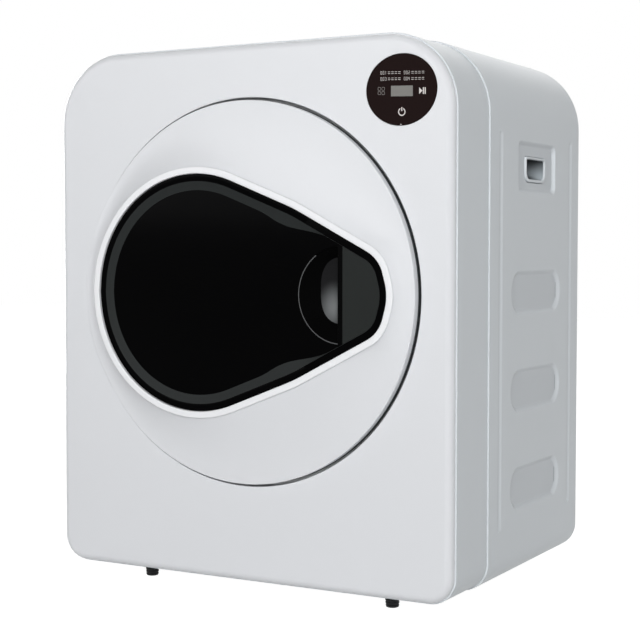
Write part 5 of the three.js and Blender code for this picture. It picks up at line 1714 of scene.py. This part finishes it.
# Lint filter: the cup with its grip bar, and a fine screen
filter_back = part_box("filter_frame")[1].y - face_y
filter_front = drum_back - drum_wall - gap - 2.5 * mm
bar_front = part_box("filter_frame")[0].y - face_y
filter_outer = hub_radius - gap
filter_inner = filter_outer - 6 * mm


def filter_mesh():
    flange = filter_outer + 8 * mm
    profile = [
        (filter_inner, filter_front + 1.2 * mm), (filter_inner + 1.6 * mm, filter_front),
        (flange - 1 * mm, filter_front), (flange, filter_front + 1 * mm), (flange, filter_front + 2.5 * mm),
        (filter_outer, filter_front + 2.5 * mm),
        (filter_outer, filter_back), (filter_inner, filter_back)]
    ring = lathe(profile, name="filter")
    skin = Skin()
    skin.patch([vertex.co for vertex in ring.vertices], [list(face.vertices) for face in ring.polygons])
    bar_half = 6.5 * mm
    bar_round = 2.6 * mm
    bar_end = filter_inner + 3 * mm
    bar_back = filter_front + 1.2 * mm
    sections = []
    for across, along in easing():
        inset = bar_round * across
        half = bar_half - inset
        outline = rounded_box(0, 0, 2 * (bar_end - 3 * inset), 2 * half, half - 0.1 * mm, steps=12)
        sections.append((outline, bar_front + bar_round * along))
    sections.append((rounded_box(0, 0, 2 * bar_end, 2 * bar_half, bar_half - 0.1 * mm, steps=12), bar_back))
    skin.rings(sections)
    skin.cap(*sections[0])
    skin.cap(*sections[-1])
    return skin.mesh("filter")


def screen_mesh():
    low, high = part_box("filter_screen")
    radius = (high.x - low.x) / 2
    front, back = low.y - face_y, high.y - face_y
    screen_hole, screen_sides = 1.9 * mm, 8
    holes = []
    for ring in range(1, 10):
        reach = ring * 5.6 * mm
        for i in range(6 * ring):
            angle = i / (6 * ring) * whole_turn
            holes.append(circle(screen_hole, screen_sides, reach * math.cos(angle), reach * math.sin(angle)))
    rim = circle(radius, 96)
    skin = Skin()
    for depth in (front, back):
        skin.flat(rim, holes, depth)
    for loop in (rim, *holes):
        skin.rings([(loop, front), (loop, back)])
    return skin.mesh("screen")


piece_of(
    filter_mesh(), "filter_cup_frame", dark_plastic, at_door, "lint_filter", ("filter_frame",),
    sharp=40)
piece_of(
    screen_mesh(), "filter_fine_screen", light_plastic, at_door, "lint_filter",
    ("filter_screen",))


# Back panel: pressed fields, louvres with hoods, and screws along its border
panel_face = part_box("back_panel")[1].y - face_y
panel_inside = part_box("back_panel")[0].y - face_y
spigot_low, spigot_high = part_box("exhaust_elbow")
spigot_x = (spigot_low.x + spigot_high.x) / 2
spigot_z = (spigot_low.z + spigot_high.z) / 2
spigot_radius = 40 * mm
spigot_end = spigot_high.y - face_y
gland_low, gland_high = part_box("inlet_gland")
gland_x = (gland_low.x + gland_high.x) / 2
gland_z = (gland_low.z + gland_high.z) / 2
gland_hole = 8.3 * mm
louvre_x = 10 * mm
louvre_z = 175 * mm
louvre_half = 25 * mm
louvre_pitch = 9.4 * mm
louvre_rise = 2.3 * mm
press_rise = 1.0 * mm
press_slope = 4 * mm


def louvre_places():
    heights = [louvre_z + (row - 3) * louvre_pitch for row in range(7)]
    return [(louvre_x + side * 29.5 * mm, height) for side in (-1, 1) for height in heights]


def back_mesh():
    outline = cabinet_outline(cabinet_wall + gap)
    spigot_hole = circle(spigot_radius + gap, 128, spigot_x, spigot_z)
    gland = circle(gland_hole, 48, gland_x, gland_z)
    slots = []
    for x, z in louvre_places():
        slots.append(rounded_box(x, z, 2 * louvre_half, 2 * louvre_rise, 0.8 * mm, steps=4))
    fields = [
        (rounded_box(-52 * mm, 410 * mm, 330 * mm, 310 * mm, 26 * mm), []),
        (rounded_box(louvre_x, louvre_z, 150 * mm, 96 * mm, 10 * mm), slots),
        (rounded_box(-150 * mm, 160 * mm, 120 * mm, 130 * mm, 18 * mm), []),
    ]
    skin = Skin()
    borders = []
    for field, holes in fields:
        raised = panel_face + press_rise
        skin.rings(
            [(offset(field, -press_slope * w), panel_face + press_rise * d) for w, d in slope_shares()])
        skin.flat(offset(field, -press_slope), holes, raised)
        for hole in holes:
            skin.rings([(hole, raised), (hole, panel_inside)])
        borders.append(field)
    skin.flat(outline, [spigot_hole, gland, *borders], panel_face)
    skin.flat(outline, [spigot_hole, gland, *slots], panel_inside)
    for loop in (outline, spigot_hole, gland):
        skin.rings([(loop, panel_inside), (loop, panel_face)])
    # Hoods over the louvres, open at the bottom
    base = panel_face + press_rise
    hood = np.array([
        (base - 0.2 * mm, 4.2 * mm), (base + 0.9 * mm, 3.0 * mm), (base + 1.3 * mm, 1.4 * mm),
        (base + 1.3 * mm, -2.0 * mm), (base + 0.8 * mm, -2.0 * mm), (base + 0.8 * mm, 1.2 * mm),
        (base + 0.5 * mm, 2.4 * mm), (base - 0.2 * mm, 3.4 * mm)])
    for x, z in louvre_places():
        lip = Skin("x")
        shape = hood + np.array((0.0, z))
        ends = (x - louvre_half - 1.5 * mm, x + louvre_half + 1.5 * mm)
        lip.rings([(shape, ends[0]), (shape, ends[1])])
        lip.cap(shape, ends[0])
        lip.cap(shape, ends[1])
        skin.patch(lip.points, lip.faces)
    return skin.mesh("back")


def back_screws():
    rim = cabinet_outline(cabinet_wall + 9 * mm)
    steps = np.linalg.norm(np.roll(rim, -1, axis=0) - rim, axis=1)
    along = np.concatenate([[0.0], np.cumsum(steps)])
    closed = np.concatenate([rim, rim[:1]])
    places = []
    for i in range(14):
        at = (i + 0.5) / 14 * along[-1]
        places.append(np.array((np.interp(at, along, closed[:, 0]), np.interp(at, along, closed[:, 1]))))
    return screw_heads(places, panel_face, 3.8 * mm, 1.4 * mm, 1)


def elbow_mesh():
    """The box at the fan's outlet, open to the round spigot with its two hose beads."""
    low, back = spigot_low.y - face_y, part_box("fan_housing")[1].y - face_y
    wall = 2 * mm
    half = (spigot_high.x - spigot_low.x) / 2
    outer = rounded_box(spigot_x, spigot_z, 2 * half, 2 * half, 6 * mm)
    inner = rounded_box(spigot_x, spigot_z, 2 * (half - wall), 2 * (half - wall), 4 * mm)
    at_spigot = lambda radius: circle(radius, 128, spigot_x, spigot_z)
    bore_radius = spigot_radius - 3 * mm
    skin = Skin()
    skin.rings([(outer, low + wall), (outer, back)])
    eased = offset(outer, -wall)
    skin.rings([(eased, low), (outer, low + wall)])
    skin.cap(eased, low)
    skin.rings([(inner, low + wall), (inner, back - wall)])
    skin.cap(inner, low + wall)
    skin.flat(inner, [at_spigot(bore_radius)], back - wall)
    body = spigot_radius - 1 * mm
    profile = [(body, back)]
    for bead in (spigot_end - 14 * mm, spigot_end - 7 * mm):
        profile += [(body, bead - 2.4 * mm), (body + 0.7 * mm, bead - 1.2 * mm), (spigot_radius, bead),
            (body + 0.7 * mm, bead + 1.2 * mm), (body, bead + 2.4 * mm)]
    profile += [
        (body, spigot_end - 1 * mm), (body - 0.6 * mm, spigot_end), (bore_radius + 0.6 * mm, spigot_end),
        (bore_radius, spigot_end - 0.8 * mm), (bore_radius, back - wall)]
    skin.flat(outer, [at_spigot(body)], back)
    skin.rings([(at_spigot(radius), depth) for radius, depth in profile])
    return skin.mesh("elbow")


def gland_mesh():
    front, back = gland_low.y - face_y, gland_high.y - face_y
    seat = panel_face + gap
    rim = gland_high.x - gland_x
    profile = [(3.6 * mm, front), (7.2 * mm, front), (8 * mm, front + 0.8 * mm), (8 * mm, seat), (rim, seat),
        (rim, seat + 1.4 * mm), (rim - 0.7 * mm, seat + 2 * mm), (8.4 * mm, seat + 2 * mm)]
    for i in range(3):
        at = seat + 2.6 * mm + i * 1.5 * mm
        thin = 6.8 * mm - i * 0.5 * mm
        profile += [(7.9 * mm - i * 0.5 * mm, at), (thin, at + 0.5 * mm), (thin, at + 1 * mm)]
    profile += [(6.2 * mm, back - 0.4 * mm), (5.6 * mm, back), (3.6 * mm, back)]
    mesh = lathe(profile, steps=64, name="gland")
    mesh.transform(Matrix.Translation((gland_x, 0, gland_z)))
    return mesh


piece_of(back_mesh(), "back_plate", zinc_steel, replaces=("back_panel",), sharp=25)
piece_of(back_screws(), "back_plate_screws", steel)
piece_of(elbow_mesh(), "exhaust_spigot", light_plastic, replaces=("exhaust_elbow",))
piece_of(gland_mesh(), "lead_gland", rubber, replaces=("inlet_gland",))


# Feet: ribbed rubber cones
def foot_mesh(height):
    tip, top = 7 * mm, 8.5 * mm
    profile = [(0.0, 0.0), (tip - 1.5 * mm, 0.0), (tip - 0.4 * mm, 0.5 * mm), (tip, 1.5 * mm)]
    for i in range(4):
        at = 3.4 * mm + i * 3.1 * mm
        radius = tip + (top - tip) * at / height
        groove = radius - 0.6 * mm
        profile += [
            (radius, at - 0.8 * mm), (groove, at - 0.4 * mm), (groove, at + 0.4 * mm), (radius, at + 0.8 * mm)]
    profile += [(top, height), (0.0, height)]
    return lathe(profile, steps=64, closed=False, axis="z", name="foot")


for place in ("front_left", "front_right", "back_left", "back_right"):
    low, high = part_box(f"foot_{place}")
    at = Vector(((low.x + high.x) / 2, (low.y + high.y) / 2, 0))
    piece_of(foot_mesh(high.z), f"ribbed_foot_{place}", rubber, at, "root", (f"foot_{place}",))


# What stays of the CAD inside the cabinet takes its finish here
finishes = [
    (zinc_steel, ("motor_body", "motor_bracket", "heater_duct", "rear_bulkhead")),
    (steel, ("motor_shaft", "fan_shaft")),
    (aluminium, ("heater_element", "motor_pulley")),
    (bronze, ("fan_bearing",)),
    (dark_plastic, ("fan_wheel", "fan_pulley", "blower_pulley", "thermostat", "drum_bush", "capacitor_clip")),
    (dark_plastic, ("switch_housing", "panel_tray")),
    (light_plastic, ("fan_housing", "run_capacitor")),
    (rubber, ("drum_belt", "fan_belt")),
    (board_green, ("control_board",)),
    (display_grey, ("display_module",)),
]
for material, nodes in finishes:
    for node in nodes:
        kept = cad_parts[node]
        kept.data.materials.clear()
        kept.data.materials.append(material)


# Camera
camera_place = (0.842375, -1.508705, 0.380094)
camera_dip = 0.049
camera_turn = 0.512
camera_data = bpy.data.cameras.new("camera")
camera_data.sensor_width = 36
camera_data.lens = 82.39
camera_data.clip_start = 0.05
camera_data.clip_end = 50
camera = bpy.data.objects.new("camera", camera_data)
camera.location = camera_place
camera.rotation_euler = (quarter_turn - camera_dip, 0, camera_turn)
bpy.context.scene.collection.objects.link(camera)
bpy.context.scene.camera = camera


# World and floor: pale for the camera, for gloss and for glass, and a plain level of light for the rest
def seen_share(nodes, links):
    path = nodes.new("ShaderNodeLightPath")
    seen = path.outputs["Is Camera Ray"]
    for name in ("Is Glossy Ray", "Is Transmission Ray"):
        add = nodes.new("ShaderNodeMath")
        add.operation = "MAXIMUM"
        links.new(seen, add.inputs[0])
        links.new(path.outputs[name], add.inputs[1])
        seen = add.outputs[0]
    return seen


world = bpy.data.worlds.new("world")
bpy.context.scene.world = world
world.use_nodes = True
nodes, links = world.node_tree.nodes, world.node_tree.links
background = nodes["Background"]
background.inputs["Color"].default_value = (1, 1, 1, 1)
level = nodes.new("ShaderNodeMapRange")
level.inputs["To Min"].default_value = 0.14
level.inputs["To Max"].default_value = 1.0
links.new(seen_share(nodes, links), level.inputs["Value"])
links.new(level.outputs["Result"], background.inputs["Strength"])

floor_mesh = bpy.data.meshes.new("floor")
floor_half = 6.0
floor_corners = [(floor_half * x, floor_half * y, 0) for x, y in ((-1, -1), (1, -1), (1, 1), (-1, 1))]
floor_mesh.from_pydata(floor_corners, [], [[0, 1, 2, 3]])
floor = bpy.data.objects.new("floor", floor_mesh)
bpy.context.scene.collection.objects.link(floor)
floor_material, nodes, links, shader = node_material("floor")
shader.inputs["Base Color"].default_value = (0.64, 0.64, 0.64, 1)
shader.inputs["Roughness"].default_value = 0.9
shader.inputs["Specular IOR Level"].default_value = 0.0
glow = nodes.new("ShaderNodeEmission")
glow.inputs["Color"].default_value = (1, 1, 1, 1)
glow.inputs["Strength"].default_value = 1.61
blend = nodes.new("ShaderNodeMixShader")
share = nodes.new("ShaderNodeMath")
share.operation = "MULTIPLY"
share.inputs[1].default_value = 0.6
links.new(seen_share(nodes, links), share.inputs[0])
links.new(share.outputs[0], blend.inputs["Fac"])
links.new(shader.outputs["BSDF"], blend.inputs[1])
links.new(glow.outputs["Emission"], blend.inputs[2])
links.new(blend.outputs["Shader"], nodes["Material Output"].inputs["Surface"])
floor_mesh.materials.append(floor_material)


def area_light(name, place, aim, size, power):
    data = bpy.data.lights.new(name, "AREA")
    data.shape = "RECTANGLE"
    data.size, data.size_y = size
    data.energy = power
    light = bpy.data.objects.new(name, data)
    light.location = place
    light.rotation_euler = (Vector(aim) - Vector(place)).to_track_quat("-Z", "Y").to_euler()
    bpy.context.scene.collection.objects.link(light)
    return light


aim = (0, 0, 0.3)
key = area_light("key", (1.9, -4.4, 1.5), aim, (2.4, 2.4), 179)
key.visible_glossy = False
softbox = area_light("softbox", (-2.6, -6.2, 2.1), aim, (4.4, 3.2), 135)
softbox.visible_diffuse = False
side = area_light("side", (3.8, 0.8, 0.9), aim, (2.4, 2.4), 13)
side.visible_glossy = False
left = area_light("left", (-2.6, 1.5, 0.4), aim, (2.4, 2.2), 160)
left.visible_diffuse = False
area_light("behind", (-3.0, 3.3, 0.6), aim, (2.4, 2.4), 75)
area_light("top", (-0.65, 2.25, 2.1), aim, (2.0, 2.0), 18)

bpy.context.scene.view_settings.view_transform = "Standard"
